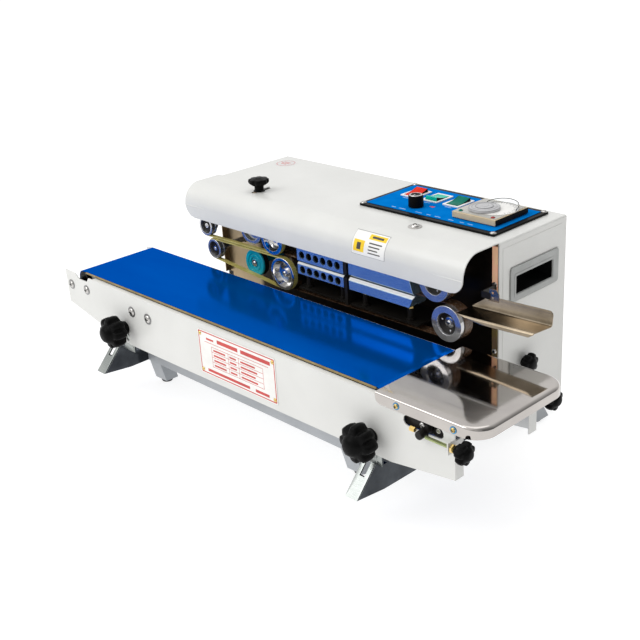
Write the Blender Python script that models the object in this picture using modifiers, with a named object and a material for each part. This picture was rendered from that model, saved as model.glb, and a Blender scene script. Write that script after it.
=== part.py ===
"""Continuous band sealer: a bench machine that carries a bag on a conveyor belt while two
heated bands draw its mouth past heating blocks and cooling blocks.

Frame: X runs along the machine in the direction the bags travel, +Y points to the back of
the cabinet and +Z points up. The origin is on the bench, under the middle of the machine.
Sizes below are in millimetres; MM turns them into metres.
"""
import math

import bmesh
import bpy
from mathutils import Vector

MM = 0.001
GAP = 0.3            # clearance between pieces that touch
MERGE = 0.00001      # merge distance in metres for modifiers and welds

# Cabinet
CABINET_LEFT = -293.0
CABINET_RIGHT = 268.0
CABINET_FRONT = 62.0
CABINET_BACK = 209.0
CABINET_BOTTOM = 22.0
CABINET_TOP = 293.0
SHEET = 1.5

# Base frame, legs and feet
BASE_LEFT = -285.2
BASE_RIGHT = 257.9
BASE_FRONT = -121.0
BASE_BACK = 205.0
BASE_BOTTOM = 34.0
BASE_TOP = 60.0
FOOT_HEIGHT = 6.0
FOOT_RADIUS = 9.0

# Hood over the sealing head
HOOD_TOP = 295.0
HOOD_FACE = -11.0
HOOD_BEND = 30.5
HOOD_LIP = 244.4
HOOD_CORNER = 20.0

# Sealing head: wheels stand in front of the mounting plate
PLATE_FRONT = 64.0
PLATE_BACK = 66.0
EXIT_FACE = 6.0          # front face of the exit wheels
ENTRY_FACE = 1.0         # front face of the entry wheels and guide rollers
PINCH = 216.0            # height at which the two sealing bands meet
BAND_FRONT = 14.5
BAND_BACK = 29.5
BAND_THICK = 0.9
GUIDE_FRONT = 2.6
GUIDE_BACK = 9.2
GUIDE_THICK = 2.4
SHAFT = 5.0
SHAFT_END = 92.0
BEARING_FRONT = 84.0
BEARING_BACK = 88.0

# Wheel centres (X, Z) and the inner radius of the band that each one carries
LOWER_EXIT = (226.2, 190.65, 24.3)
UPPER_EXIT = (205.4, 241.35, 24.3)
LOWER_ENTRY = (-84.5, 189.35, 25.6)
UPPER_ENTRY = (-104.0, 238.65, 21.6)
LOWER_ENTRY_GUIDE = 23.1
UPPER_ENTRY_GUIDE = 21.1
LOWER_ROLLER = (-245.3, 195.2, 14.8)
UPPER_ROLLER = (-262.0, 229.8, 14.8)
ROLLER_RIM = 16.0
PRESS_WHEEL = (-161.5, 242.0, 24.4)
SILICONE_WHEEL = (-158.5, 187.8, 21.5)
PRESS_FRONT = 9.8
PRESS_DEPTH = 18.0
SILICONE_DEPTH = 12.0
PRESS_PIVOT = (-212.0, 258.0)
ARM_FRONT = 38.0
ARM_BACK = 48.0

# Turning pieces whose shafts run back through both plates
DRIVEN = (LOWER_EXIT, UPPER_EXIT, LOWER_ENTRY, UPPER_ENTRY, LOWER_ROLLER, UPPER_ROLLER,
          SILICONE_WHEEL)

# Heating and cooling blocks
BLOCK_FRONT = 5.0
BLOCK_BACK = 38.0
COOLER_LEFT = -53.0
COOLER_RIGHT = 41.5
HEATER_LEFT = 52.0
HEATER_RIGHT = 172.0
BLOCK_BOTTOM = 197.0
BLOCK_TOP = 236.7
HALF_NIP = 1.35          # from the pinch height to a block's working face
COOLER_HOLES = 6
COOLER_BORE = 5.5
POSTS = (-42.0, 29.0, 73.0, 156.0)   # X of the posts under the lower blocks

# Controls: rocker name, X, which end stands up (1 rear, -1 front) and finish
ROCKERS = (("power_rocker", 47.5, 1.0, "red_plastic"), ("fan_rocker", 87.4, -1.0, "green_plastic"),
           ("heat_rocker", 126.0, 1.0, "green_plastic"))
ROCKER_Y = 155.0
ROCKER_PIVOT = 296.0
ROCKER_HALF = 10.3       # half its width along the pivot
WINDOW = (10.9, 14.9)    # half sizes of a rocker's window
PANEL_SURFACE = 298.0
SPEED_AT = (87.2, 109.3)
CASE_LOW = (159.0, 100.3)
CASE_HIGH = (232.0, 172.5)
CASE_TOP = 307.0
DIAL_AT = (191.0, 130.0)
DIAL_BASE = 303.3
COVER_AT = (199.5, 139.0)
COVER_RADIUS = 29.0
COVER_TOP = 314.0

# Pressure screw on top of the hood
PRESS_SCREW = (-165.0, 37.0)

# Conveyor
PANEL_LEFT = -420.5
PANEL_RIGHT = 384.0
PANEL_TOP = 171.0
REAR_LEFT = -409.0       # the rear panel stops a little short of the front one
FLANGE = (-345.0, 262.0) # span of the front panel's inward top flange
FRONT_PANEL = (-168.0, -166.5)
REAR_PANEL = (-17.0, -15.5)
BELT_TOP = 175.1
BELT_FRONT = -158.7
BELT_BACK = -22.5
BELT_THICK = 1.3
ROLLER_RADIUS = 12.0
DRIVE_ROLLER = (-381.5, 161.5)
IDLE_ROLLER = (340.0, 153.5)
NOSE = (257.3, 167.8, 6.0)
BED_LEFT = -361.0
TRAY_RIGHT = 420.5
TRAY_LEFT = 265.2
TRAY_FRONT = -169.8
TRAY_BACK = -3.0
TRAY_TOP = 175.6
TRAY_SKIRT = 161.0
TENSION_Y = (-174.5, -9.0)
TENSION_Z = 146.5
LIFT = 18.0              # height adjustment of the conveyor

# Clamp knobs on the support arms
CLAMP_X = (-262.0, 256.0)
CLAMP_Z = 113.0
CLAMP_TIP = -211.0

# Legs: left and right edge, lean along X, front and back edge, lean along Y
LEGS = (
    (-284.5, -256.0, 9.0, -120.5, -98.0, 3.0),
    (148.0, 176.0, 9.0, -120.5, -98.0, 3.0),
    (230.0, 257.0, 17.0, 138.0, 165.0, 6.0),
    (-284.5, -257.5, -12.0, 138.0, 165.0, 6.0),
)

FINISHES = {
    "white_paint": ((0.80, 0.80, 0.76), 0.35, 0.0),
    "grey_paint": ((0.52, 0.54, 0.56), 0.45, 0.0),
    "zinc": ((0.55, 0.45, 0.26), 0.35, 0.9),
    "black_plastic": ((0.015, 0.015, 0.015), 0.40, 0.0),
    "grey_plastic": ((0.34, 0.35, 0.34), 0.50, 0.0),
    "beige_plastic": ((0.50, 0.44, 0.34), 0.45, 0.0),
    "blue_panel": ((0.02, 0.22, 0.62), 0.30, 0.0),
    "red_plastic": ((0.70, 0.04, 0.02), 0.30, 0.0),
    "green_plastic": ((0.02, 0.45, 0.28), 0.30, 0.0),
    "rubber": ((0.02, 0.02, 0.02), 0.75, 0.0),
    "silicone": ((0.02, 0.42, 0.46), 0.50, 0.0),
    "chrome": ((0.75, 0.76, 0.78), 0.10, 1.0),
    "steel": ((0.58, 0.57, 0.55), 0.28, 1.0),
    "polished_steel": ((0.72, 0.70, 0.68), 0.08, 1.0),
    "aluminium": ((0.65, 0.66, 0.68), 0.30, 1.0),
    "dark_steel": ((0.06, 0.06, 0.06), 0.40, 0.8),
    "ptfe_brown": ((0.20, 0.11, 0.06), 0.45, 0.0),
    "olive_rubber": ((0.42, 0.38, 0.16), 0.60, 0.0),
    "blue_belt": ((0.01, 0.10, 0.48), 0.15, 0.0),
}

TURNS = {
    "X": (math.pi / 2, 0.0, math.pi / 2),
    "Y": (math.pi / 2, 0.0, 0.0),
    "Z": (0.0, 0.0, 0.0),
}


def clear_scene():
    """Start from a scene with no objects."""
    for item in list(bpy.data.objects):
        bpy.data.objects.remove(item, do_unlink=True)


def new_collection(name):
    made = bpy.data.collections.new(name)
    bpy.context.scene.collection.children.link(made)
    return made


clear_scene()
PARTS = new_collection("continuous_band_sealer")
CUTTERS = new_collection("cutters")


def coat(piece, finish):
    """Give a piece its own Principled material."""
    colour, roughness, metallic = FINISHES[finish]
    material = bpy.data.materials.new(piece.name + "_" + finish)
    material.use_nodes = True
    shader = material.node_tree.nodes["Principled BSDF"]
    shader.inputs["Base Color"].default_value = (*colour, 1.0)
    shader.inputs["Roughness"].default_value = roughness
    shader.inputs["Metallic"].default_value = metallic
    material.diffuse_color = (*colour, 1.0)
    piece.data.materials.clear()
    piece.data.materials.append(material)


def place(name, data, finish, at=(0.0, 0.0, 0.0)):
    piece = bpy.data.objects.new(name, data)
    piece.location = Vector(at) * MM
    PARTS.objects.link(piece)
    if finish:
        coat(piece, finish)
    return piece


def from_cage(name, cage, finish, at):
    mesh = bpy.data.meshes.new(name)
    cage.to_mesh(mesh)
    cage.free()
    return place(name, mesh, finish, at)


def round_edges(piece, width, segments=1, angle=math.radians(40)):
    step = piece.modifiers.new("rounded_edges", "BEVEL")
    step.width = width * MM
    step.segments = segments
    step.limit_method = "ANGLE"
    step.angle_limit = angle


def thicken(piece, thickness, offset=-1.0):
    step = piece.modifiers.new("sheet", "SOLIDIFY")
    step.thickness = thickness * MM
    step.offset = offset
    step.use_even_offset = True


def box(name, low, high, finish=None, origin=None, bevel=0.0):
    """Box between two corners, with its origin at its middle or at a joint."""
    low, high = Vector(low), Vector(high)
    middle = (low + high) / 2
    origin = Vector(origin) if origin else middle
    cage = bmesh.new()
    bmesh.ops.create_cube(cage, size=1.0)
    bmesh.ops.scale(cage, vec=(high - low) * MM, verts=cage.verts)
    bmesh.ops.translate(cage, vec=(middle - origin) * MM, verts=cage.verts)
    piece = from_cage(name, cage, finish, origin)
    if bevel:
        round_edges(piece, bevel)
    return piece


def turned(name, profile, at, axis, finish=None, steps=28):
    """Turned piece: (radius, distance along the axis) from its top down its outer side."""
    cage = bmesh.new()
    points = [cage.verts.new((radius * MM, 0.0, along * MM)) for radius, along in profile]
    for first, second in zip(points, points[1:]):
        cage.edges.new((first, second))
    if profile[0][0] > 0.0:
        cage.edges.new((points[-1], points[0]))
    piece = from_cage(name, cage, finish, at)
    screw = piece.modifiers.new("turned", "SCREW")
    screw.axis = "Z"
    screw.steps = steps
    screw.render_steps = steps
    screw.use_merge_vertices = True
    screw.merge_threshold = MERGE
    screw.use_smooth_shade = False
    piece.rotation_mode = "QUATERNION"
    piece.rotation_quaternion = Vector((0.0, 0.0, 1.0)).rotation_difference(Vector(axis))
    return piece


def flat(name, facing, low, high, loops, finish=None, origin=(0.0, 0.0)):
    """Flat plate: outlines across the facing axis, from low to high along it."""
    curve = bpy.data.curves.new(name, "CURVE")
    curve.dimensions = "2D"
    curve.fill_mode = "BOTH"
    curve.extrude = (high - low) / 2 * MM
    for loop in loops:
        spline = curve.splines.new("POLY")
        spline.points.add(len(loop) - 1)
        for point, (across, up) in zip(spline.points, loop):
            point.co = ((across - origin[0]) * MM, (up - origin[1]) * MM, 0.0, 1.0)
        spline.use_cyclic_u = True
    middle = (low + high) / 2
    spot = {"X": (middle, origin[0], origin[1]),
            "Y": (origin[0], middle, origin[1]),
            "Z": (origin[0], origin[1], middle)}[facing]
    piece = place(name, curve, finish, spot)
    piece.rotation_euler = TURNS[facing]
    return piece


def to_mesh(piece):
    """Turn a curve, or a piece with modifiers, into a plain welded mesh object."""
    bpy.context.view_layer.update()
    graph = bpy.context.evaluated_depsgraph_get()
    mesh = bpy.data.meshes.new_from_object(piece.evaluated_get(graph))
    cage = bmesh.new()
    cage.from_mesh(mesh)
    bmesh.ops.remove_doubles(cage, verts=cage.verts, dist=MERGE)
    cage.to_mesh(mesh)
    cage.free()
    name = piece.name
    matrix = piece.matrix_world.copy()
    bpy.data.objects.remove(piece, do_unlink=True)
    made = bpy.data.objects.new(name, mesh)
    made.matrix_world = matrix
    PARTS.objects.link(made)
    return made


def combine(target, other, operation):
    """Boolean a helper piece into a target; the helper moves to the cutters."""
    if other.type == "CURVE":
        other = to_mesh(other)
    other.name = "tool_" + target.name
    PARTS.objects.unlink(other)
    CUTTERS.objects.link(other)
    other.hide_render = True
    other.display_type = "WIRE"
    step = target.modifiers.new(operation.lower(), "BOOLEAN")
    step.operation = operation
    step.solver = "EXACT"
    step.object = other


def cut(target, *tools):
    for tool in tools:
        combine(target, tool, "DIFFERENCE")


def join(target, *pieces):
    for piece in pieces:
        combine(target, piece, "UNION")


def arc(centre, radius, start, end, steps):
    """Points on an arc, angles in degrees."""
    points = []
    for step in range(steps + 1):
        angle = math.radians(start + (end - start) * step / steps)
        points.append((centre[0] + radius * math.cos(angle), centre[1] + radius * math.sin(angle)))
    return points


def circle(centre, radius, steps=20):
    return arc(centre, radius, 0.0, 360.0, steps)[:-1]


def rectangle(low, high):
    return [(low[0], low[1]), (high[0], low[1]), (high[0], high[1]), (low[0], high[1])]


def long_slot(start, end, radius, steps=6):
    """Round-ended slot between two points on one horizontal or vertical line."""
    heading = math.degrees(math.atan2(end[1] - start[1], end[0] - start[0]))
    near = arc(end, radius, heading - 90.0, heading + 90.0, steps)
    return near + arc(start, radius, heading + 90.0, heading + 270.0, steps)


def taut_loop(wheels, offset, steps=10):
    """Outline of a belt pulled round circles (x, z, radius) listed counter-clockwise."""
    count = len(wheels)
    angles = []
    for index in range(count):
        x1, z1, r1 = wheels[index]
        x2, z2, r2 = wheels[(index + 1) % count]
        heading = math.atan2(z2 - z1, x2 - x1)
        spread = math.acos((r1 - r2) / math.hypot(x2 - x1, z2 - z1))
        angles.append(math.degrees(heading - spread))
    points = []
    for index in range(count):
        x, z, radius = wheels[index]
        start = angles[index - 1]
        sweep = (angles[index] - start) % 360.0
        parts = max(2, round(steps * sweep / 180.0))
        points += arc((x, z), radius + offset, start, start + sweep, parts)
    return points


def belt(name, wheels, front, back, thickness, finish, steps=10):
    outer = taut_loop(wheels, thickness, steps)
    inner = taut_loop(wheels, 0.0, steps)
    return flat(name, "Y", front, back, [outer, inner], finish)


def star(radius, depth, lobes, points_per_lobe=5):
    """Outline of a star grip: round lobes with hollows between them."""
    total = lobes * points_per_lobe
    outline = []
    for step in range(total):
        angle = 2.0 * math.pi * step / total
        hollow = 0.5 + 0.5 * math.cos(lobes * angle)
        reach = radius - depth * (1.0 - hollow) ** 2
        outline.append((reach * math.cos(angle), reach * math.sin(angle)))
    return outline


def star_knob(name, at, axis, radius, grip, dome, neck, bolt, lobes=8):
    """Star knob whose grip starts neck in front of at; its bolt runs back behind at."""
    outline = star(radius, radius * 0.14, lobes)
    knob = flat(name, "Z", neck, neck + grip, [outline], None)
    knob = to_mesh(knob)
    profile = [
        (0.0, neck + grip + dome),
        (radius * 0.45, neck + grip + dome * 0.85),
        (radius * 0.72, neck + grip + dome * 0.45),
        (radius * 0.80, neck + grip - 0.5),
        (radius * 0.80, neck + 1.0),
        (radius * 0.40, 0.0),
        (bolt[0], 0.0),
        (bolt[0], -bolt[1]),
        (0.0, -bolt[1]),
    ]
    core = turned(name + "_core", profile, (0.0, 0.0, 0.0), (0.0, 0.0, 1.0), None, 20)
    join(knob, core)
    knob = to_mesh(knob)
    knob.data.transform(knob.matrix_world)
    knob.rotation_mode = "QUATERNION"
    knob.rotation_quaternion = Vector((0.0, 0.0, 1.0)).rotation_difference(Vector(axis))
    knob.location = Vector(at) * MM
    coat(knob, "black_plastic")
    return knob


# ---------------------------------------------------------------- cabinet and base

def make_cabinet():
    """Folded sheet cabinet: two ends, top and back in one, open at the front and below."""
    cage = bmesh.new()
    low = Vector((CABINET_LEFT, CABINET_FRONT, CABINET_BOTTOM))
    high = Vector((CABINET_RIGHT, CABINET_BACK, CABINET_TOP))
    bmesh.ops.create_cube(cage, size=1.0)
    bmesh.ops.scale(cage, vec=(high - low) * MM, verts=cage.verts)
    open_sides = [face for face in cage.faces if face.normal.y < -0.5 or face.normal.z < -0.5]
    bmesh.ops.delete(cage, geom=open_sides, context="FACES")
    shell = from_cage("cabinet_shell", cage, "white_paint", (low + high) / 2)
    thicken(shell, SHEET)
    for side in (CABINET_LEFT, CABINET_RIGHT):
        low_x, high_x = side - 5.0, side + 5.0
        cut(shell, box("handle_hole", (low_x, 93.0, 212.0), (high_x, 179.0, 244.0)))
        bolt_hole = [circle((115.0, 110.0), 5.0, 12)]
        cut(shell, flat("knob_hole", "X", low_x, high_x, bolt_hole))
    cut(shell, box("control_hole", (15.0, 84.0, 285.0), (239.0, 190.0, 300.0)))
    vents = []
    for row in range(4):
        height = 90.0 + 14.0 * row
        vents.append(long_slot((-190.0, height), (-90.0, height), 3.0, 3))
    for vent in vents:
        cut(shell, flat("vent", "Y", 200.0, 215.0, [vent]))
    cut(shell, box("inlet_hole", (-250.0, 200.0, 70.0), (-222.0, 215.0, 90.0)))
    return shell


def make_base():
    """Pressed under-frame: a shallow tray open below, with four splayed legs."""
    frame = box("base_frame", (BASE_LEFT, BASE_FRONT, BASE_BOTTOM),
                (BASE_RIGHT, BASE_BACK, BASE_TOP), "grey_paint")
    cut(frame, box("underside", (BASE_LEFT + 2.0, BASE_FRONT + 2.0, BASE_BOTTOM - 5.0),
                   (BASE_RIGHT - 2.0, BASE_BACK - 2.0, BASE_TOP - 2.0)))
    for left, right, lean_x, front, back, lean_y in LEGS:
        cage = bmesh.new()
        bmesh.ops.create_cube(cage, size=1.0)
        low = Vector((left, front, FOOT_HEIGHT))
        high = Vector((right, back, BASE_BOTTOM + 4.0))
        bmesh.ops.scale(cage, vec=(high - low) * MM, verts=cage.verts)
        bottom = [point for point in cage.verts if point.co.z < 0.0]
        bmesh.ops.translate(cage, vec=Vector((lean_x, lean_y, 0.0)) * MM, verts=bottom)
        join(frame, from_cage("leg", cage, None, (low + high) / 2))
    return frame


def make_feet():
    names = ("foot_front_left", "foot_front_right", "foot_rear_right", "foot_rear_left")
    for name, (left, right, lean_x, front, back, lean_y) in zip(names, LEGS):
        middle = ((left + right) / 2 + lean_x, (front + back) / 2 + lean_y, 0.0)
        profile = [(0.0, FOOT_HEIGHT - GAP), (FOOT_RADIUS, FOOT_HEIGHT - GAP),
                   (FOOT_RADIUS, 1.5), (FOOT_RADIUS - 2.0, 0.0), (0.0, 0.0)]
        turned(name, profile, middle, (0.0, 0.0, 1.0), "rubber", 20)


def make_arm(name, web_left, clamp_x):
    """Support arm: a web beside the base, a sloping nose and a post behind each panel."""
    web_right = web_left + 2.5
    outline = [(-155.0, 34.0), (134.0, 34.0), (134.0, 100.0), (126.0, 124.0), (102.0, 124.0),
               (70.0, 76.0), (-167.0, 76.0), (-201.0, 39.0)]
    bolt_hole = circle((115.0, 110.0), 4.6, 12)
    arm = to_mesh(flat(name, "X", web_left, web_right, [outline, bolt_hole]))
    coat(arm, "chrome")
    nose = [(-203.5, 39.0), (-201.0, 39.0), (-167.0, 76.0), (-169.5, 76.0)]
    join(arm, flat("nose", "X", web_right - 20.0, web_right - 0.2, [nose]))
    cut(arm, box("nose_slot", (web_right - 14.0, -190.0, 61.0), (web_right - 6.0, -160.0, 80.0)))
    left, right = clamp_x - 13.0, clamp_x + 13.0
    low_x, high_x = min(left, web_left + 0.3), max(right, web_right - 0.3)
    for near, far in ((FRONT_PANEL[1] + GAP, 2.5), (REAR_PANEL[1] + GAP, 2.5)):
        shelf = box("shelf", (low_x, near + 0.2, 73.0), (high_x, near + 9.0, 75.5))
        post = box("post", (left, near, 73.0), (right, near + far, 126.0))
        join(arm, shelf, post)
        hole = [circle((clamp_x, CLAMP_Z), 4.6, 12)]
        cut(arm, flat("bolt_hole", "Y", near - 2.0, near + 6.0, hole))
    return arm


def make_handle(name, wall, outward):
    """Recessed grip in an end wall: flange outside, cup inside."""
    face = wall + outward * GAP
    spans = {"flange": (face, face + outward * 2.0),
             "cup": (wall - outward * 28.0, face + outward * 0.5),
             "hollow": (wall - outward * 26.0, face + outward * 5.0)}
    low = {key: min(span) for key, span in spans.items()}
    high = {key: max(span) for key, span in spans.items()}
    grip = box(name, (low["flange"], 84.0, 205.0), (high["flange"], 190.0, 253.0), "grey_plastic")
    join(grip, box("cup", (low["cup"], 94.0, 213.0), (high["cup"], 178.0, 243.0)))
    cut(grip, box("hollow", (low["hollow"], 96.0, 215.5), (high["hollow"], 176.0, 240.5)))
    return grip


def make_hood():
    """Bent sheet hood with rounded lower corners and a slot for the pressure screw."""
    flat_top = CABINET_FRONT - 0.5 - (HOOD_FACE + HOOD_BEND)
    bend = HOOD_BEND * math.pi / 2
    drop = HOOD_TOP - HOOD_BEND - HOOD_LIP
    length = flat_top + bend + drop
    stations = [0.0]
    stations += [flat_top + bend * step / 8 for step in range(9)]
    stations += [length - HOOD_CORNER * math.cos(math.radians(15 * step)) for step in range(1, 7)]
    cage = bmesh.new()
    bmesh.ops.create_grid(cage, x_segments=1, y_segments=len(stations) - 1, size=1.0)
    rows = sorted(cage.verts, key=lambda point: (point.co.y, point.co.x))
    centre = Vector((HOOD_FACE + HOOD_BEND, HOOD_TOP - HOOD_BEND))
    for index, point in enumerate(rows):
        run = stations[index // 2]
        if run <= flat_top:
            across, up = CABINET_FRONT - 0.5 - run, HOOD_TOP
        elif run <= flat_top + bend:
            turn = (run - flat_top) / HOOD_BEND
            across, up = centre.x - HOOD_BEND * math.sin(turn), centre.y + HOOD_BEND * math.cos(turn)
        else:
            across, up = HOOD_FACE, centre.y - (run - flat_top - bend)
        near_end = max(0.0, run - (length - HOOD_CORNER))
        inset = HOOD_CORNER - math.sqrt(max(0.0, HOOD_CORNER ** 2 - near_end ** 2))
        side = CABINET_LEFT + inset if index % 2 == 0 else CABINET_RIGHT - inset
        point.co = Vector((side, across, up)) * MM
    bmesh.ops.recalc_face_normals(cage, faces=cage.faces)
    if max(cage.faces, key=lambda face: face.calc_center_median().z).normal.z < 0.0:
        bmesh.ops.reverse_faces(cage, faces=cage.faces)
    hood = from_cage("hood", cage, "white_paint", (0.0, 0.0, 0.0))
    thicken(hood, SHEET)
    x = PRESS_SCREW[0]
    slot = [(x - 4.0, 70.0)] + arc((x, 27.0), 4.0, 180.0, 360.0, 6) + [(x + 4.0, 70.0)]
    cut(hood, flat("screw_slot", "Z", 285.0, 300.0, [slot]))
    return hood


def make_mounting_plate():
    """Zinc plate across the cabinet front that carries the sealing head."""
    outline = [(-283.0, 61.0), (255.0, 61.0), (255.0, 128.0), (266.0, 128.0), (266.0, 291.0),
               (-291.0, 291.0), (-291.0, 130.0), (-283.0, 130.0)]
    holes = [circle(centre[:2], SHAFT + 1.5, 16) for centre in DRIVEN + (PRESS_PIVOT,)]
    plate = to_mesh(flat("mounting_plate", "Y", PLATE_FRONT, PLATE_BACK, [outline] + holes))
    coat(plate, "zinc")
    join(plate, box("stile", (256.5, 62.2, 131.0), (265.8, 64.9, 290.0)))
    join(plate, box("left_flange", (-291.0, 54.5, 131.0), (-289.4, PLATE_BACK - 0.5, 290.0)))
    x, y = PRESS_SCREW
    join(plate, box("screw_lug", (x - 11.0, y - 8.0, 272.0), (x + 11.0, PLATE_FRONT + 1.1, 278.0)))
    cut(plate, flat("screw_hole", "Z", 265.0, 285.0, [circle(PRESS_SCREW, 3.6, 12)]))
    return plate


def make_bearing_plate():
    """Steel plate inside the cabinet that holds the far ends of the shafts."""
    outline = rectangle((-284.0, 160.0), (252.0, 275.0))
    holes = [circle(centre[:2], SHAFT + GAP, 16) for centre in DRIVEN + (PRESS_PIVOT,)]
    return flat("bearing_plate", "Y", BEARING_FRONT, BEARING_BACK, [outline] + holes, "steel")


# ---------------------------------------------------------------- sealing head

def wheel(name, centre, face, steps_out, finish, steps=28, boss=8.0):
    """Wheel with a dished face and its shaft; steps_out are (radius, depth) down the rim."""
    rim = steps_out[0][0]
    profile = [(0.0, -1.0), (boss * 0.6, -1.0), (boss, -2.0), (boss, -6.0), (rim - 7.0, -6.0),
               (rim - 4.5, 0.0)]
    profile += [(radius, -depth) for radius, depth in steps_out]
    back = steps_out[-1][1]
    profile += [(SHAFT + 4.0, -back), (SHAFT + 4.0, -back - 8.0), (SHAFT, -back - 8.0),
                (SHAFT, face - SHAFT_END), (0.0, face - SHAFT_END)]
    return turned(name, profile, (centre[0], face, centre[1]), (0.0, -1.0, 0.0), finish, steps)


def make_wheels():
    """Exit wheels carry a band; entry wheels carry a guide belt and a band; rollers a guide belt."""
    drum_end = BAND_BACK + 1.5
    for name, centre in (("exit_wheel_lower", LOWER_EXIT), ("exit_wheel_upper", UPPER_EXIT)):
        tread = centre[2] - GAP
        wheel(name, centre, EXIT_FACE, [(tread + 0.9, 0.0), (tread + 0.9, 3.0), (tread, 3.0),
                                        (tread, drum_end - EXIT_FACE)], "steel")
    flange = GUIDE_FRONT - ENTRY_FACE - GAP
    groove = GUIDE_BACK - ENTRY_FACE + GAP
    for name, centre, guide, rim in (
            ("entry_wheel_lower", LOWER_ENTRY, LOWER_ENTRY_GUIDE, 25.0),
            ("entry_wheel_upper", UPPER_ENTRY, UPPER_ENTRY_GUIDE, 23.2)):
        tread = centre[2] - GAP
        seat = guide - GAP
        wheel(name, centre, ENTRY_FACE, [(rim, 0.0), (rim, flange), (seat, flange),
                                         (seat, groove), (tread, groove),
                                         (tread, drum_end - ENTRY_FACE)], "chrome")
    for name, centre in (("guide_roller_lower", LOWER_ROLLER), ("guide_roller_upper", UPPER_ROLLER)):
        seat = centre[2] - GAP
        wheel(name, centre, ENTRY_FACE, [(ROLLER_RIM, 0.0), (ROLLER_RIM, flange), (seat, flange),
                                         (seat, groove), (ROLLER_RIM, groove),
                                         (ROLLER_RIM, groove + 2.0)], "steel", 24, 6.0)


def make_press_pair():
    """Silicone press wheel on a fixed shaft, and a steel one above it on a pivoting arm."""
    x, z, radius = SILICONE_WHEEL
    reach = PRESS_FRONT - SHAFT_END
    back = -SILICONE_DEPTH
    profile = [(0.0, -0.2), (5.0, -0.2), (5.0, -1.2), (radius - 7.0, -1.2), (radius - 6.0, 0.0),
               (radius - 1.5, 0.0), (radius, -1.5), (radius, back + 1.5), (radius - 1.5, back),
               (SHAFT, back), (SHAFT, reach), (0.0, reach)]
    turned("silicone_wheel", profile, (x, PRESS_FRONT, z), (0.0, -1.0, 0.0), "silicone")
    x, z, radius = PRESS_WHEEL
    reach = PRESS_FRONT - ARM_BACK + 1.0
    profile = [(0.0, 0.0), (7.0, 0.0), (7.0, -4.0), (radius - 6.0, -4.0), (radius - 4.0, 0.0),
               (radius, 0.0), (radius, -PRESS_DEPTH), (SHAFT, -PRESS_DEPTH), (SHAFT, reach),
               (0.0, reach)]
    turned("press_wheel", profile, (x, PRESS_FRONT, z), (0.0, -1.0, 0.0), "steel")
    outline = taut_loop([(*PRESS_PIVOT, 9.0), (x, z, 9.0)], 0.0, 8)
    bore = circle((x, z), SHAFT + GAP, 16)
    arm = to_mesh(flat("press_arm", "Y", ARM_FRONT, ARM_BACK, [outline, bore], None, PRESS_PIVOT))
    coat(arm, "dark_steel")
    reach = ARM_BACK - SHAFT_END
    pin = [(0.0, 0.5), (SHAFT, 0.5), (SHAFT, reach), (0.0, reach)]
    pivot = (PRESS_PIVOT[0], ARM_BACK, PRESS_PIVOT[1])
    join(arm, turned("pin", pin, pivot, (0.0, -1.0, 0.0), None, 16))


def make_bands():
    """Two sealing bands that meet at the pinch, and two guide belts that lead the bag in."""
    belt("sealing_band_lower", [LOWER_ENTRY, LOWER_EXIT], BAND_FRONT, BAND_BACK, BAND_THICK,
         "ptfe_brown", 12)
    belt("sealing_band_upper", [UPPER_ENTRY, UPPER_EXIT], BAND_FRONT, BAND_BACK, BAND_THICK,
         "ptfe_brown", 12)
    lower_end = (LOWER_ENTRY[0], LOWER_ENTRY[1], LOWER_ENTRY_GUIDE)
    upper_end = (UPPER_ENTRY[0], UPPER_ENTRY[1], UPPER_ENTRY_GUIDE)
    belt("guide_belt_lower", [LOWER_ROLLER, lower_end], GUIDE_FRONT, GUIDE_BACK, GUIDE_THICK,
         "olive_rubber")
    belt("guide_belt_upper", [UPPER_ROLLER, upper_end], GUIDE_FRONT, GUIDE_BACK, GUIDE_THICK,
         "olive_rubber")


def make_blocks():
    """Heating and cooling blocks above and below the bands."""
    spans = (("upper", PINCH + HALF_NIP, BLOCK_TOP), ("lower", BLOCK_BOTTOM, PINCH - HALF_NIP))
    pitch = (COOLER_RIGHT - COOLER_LEFT) / COOLER_HOLES
    for level, bottom, top in spans:
        box("heater_block_" + level, (HEATER_LEFT, BLOCK_FRONT, bottom),
            (HEATER_RIGHT, BLOCK_BACK, top), "aluminium")
        middle = (bottom + top) / 2
        holes = [circle((COOLER_LEFT + pitch * (index + 0.5), middle), COOLER_BORE, 16)
                 for index in range(COOLER_HOLES)]
        outline = rectangle((COOLER_LEFT, bottom), (COOLER_RIGHT, top))
        flat("cooler_block_" + level, "Y", BLOCK_FRONT, BLOCK_BACK, [outline] + holes, "aluminium")


def make_block_carrier():
    """Dark bracket: shelves above and below the blocks and a web between the block pairs."""
    left, right = COOLER_LEFT - 3.0, HEATER_RIGHT + 4.0
    back = PLATE_FRONT - GAP
    carrier = box("block_carrier", (43.8, 4.0, 172.0), (49.2, back, 240.0), "dark_steel")
    cut(carrier, box("nip", (40.0, 0.0, PINCH - 2.5), (53.0, 36.0, PINCH + 2.5)))
    join(carrier, box("upper_shelf", (left, 12.0, 237.0), (right, back, 239.9)))
    join(carrier, box("lower_shelf", (left, 8.0, 172.1), (right, back, 175.0)))
    for x in POSTS:
        post = [(0.0, BLOCK_BOTTOM - GAP), (4.0, BLOCK_BOTTOM - GAP), (4.0, 174.0), (0.0, 174.0)]
        join(carrier, turned("post", post, (x, 16.0, 0.0), (0.0, 0.0, 1.0), None, 12))
    return carrier


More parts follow.
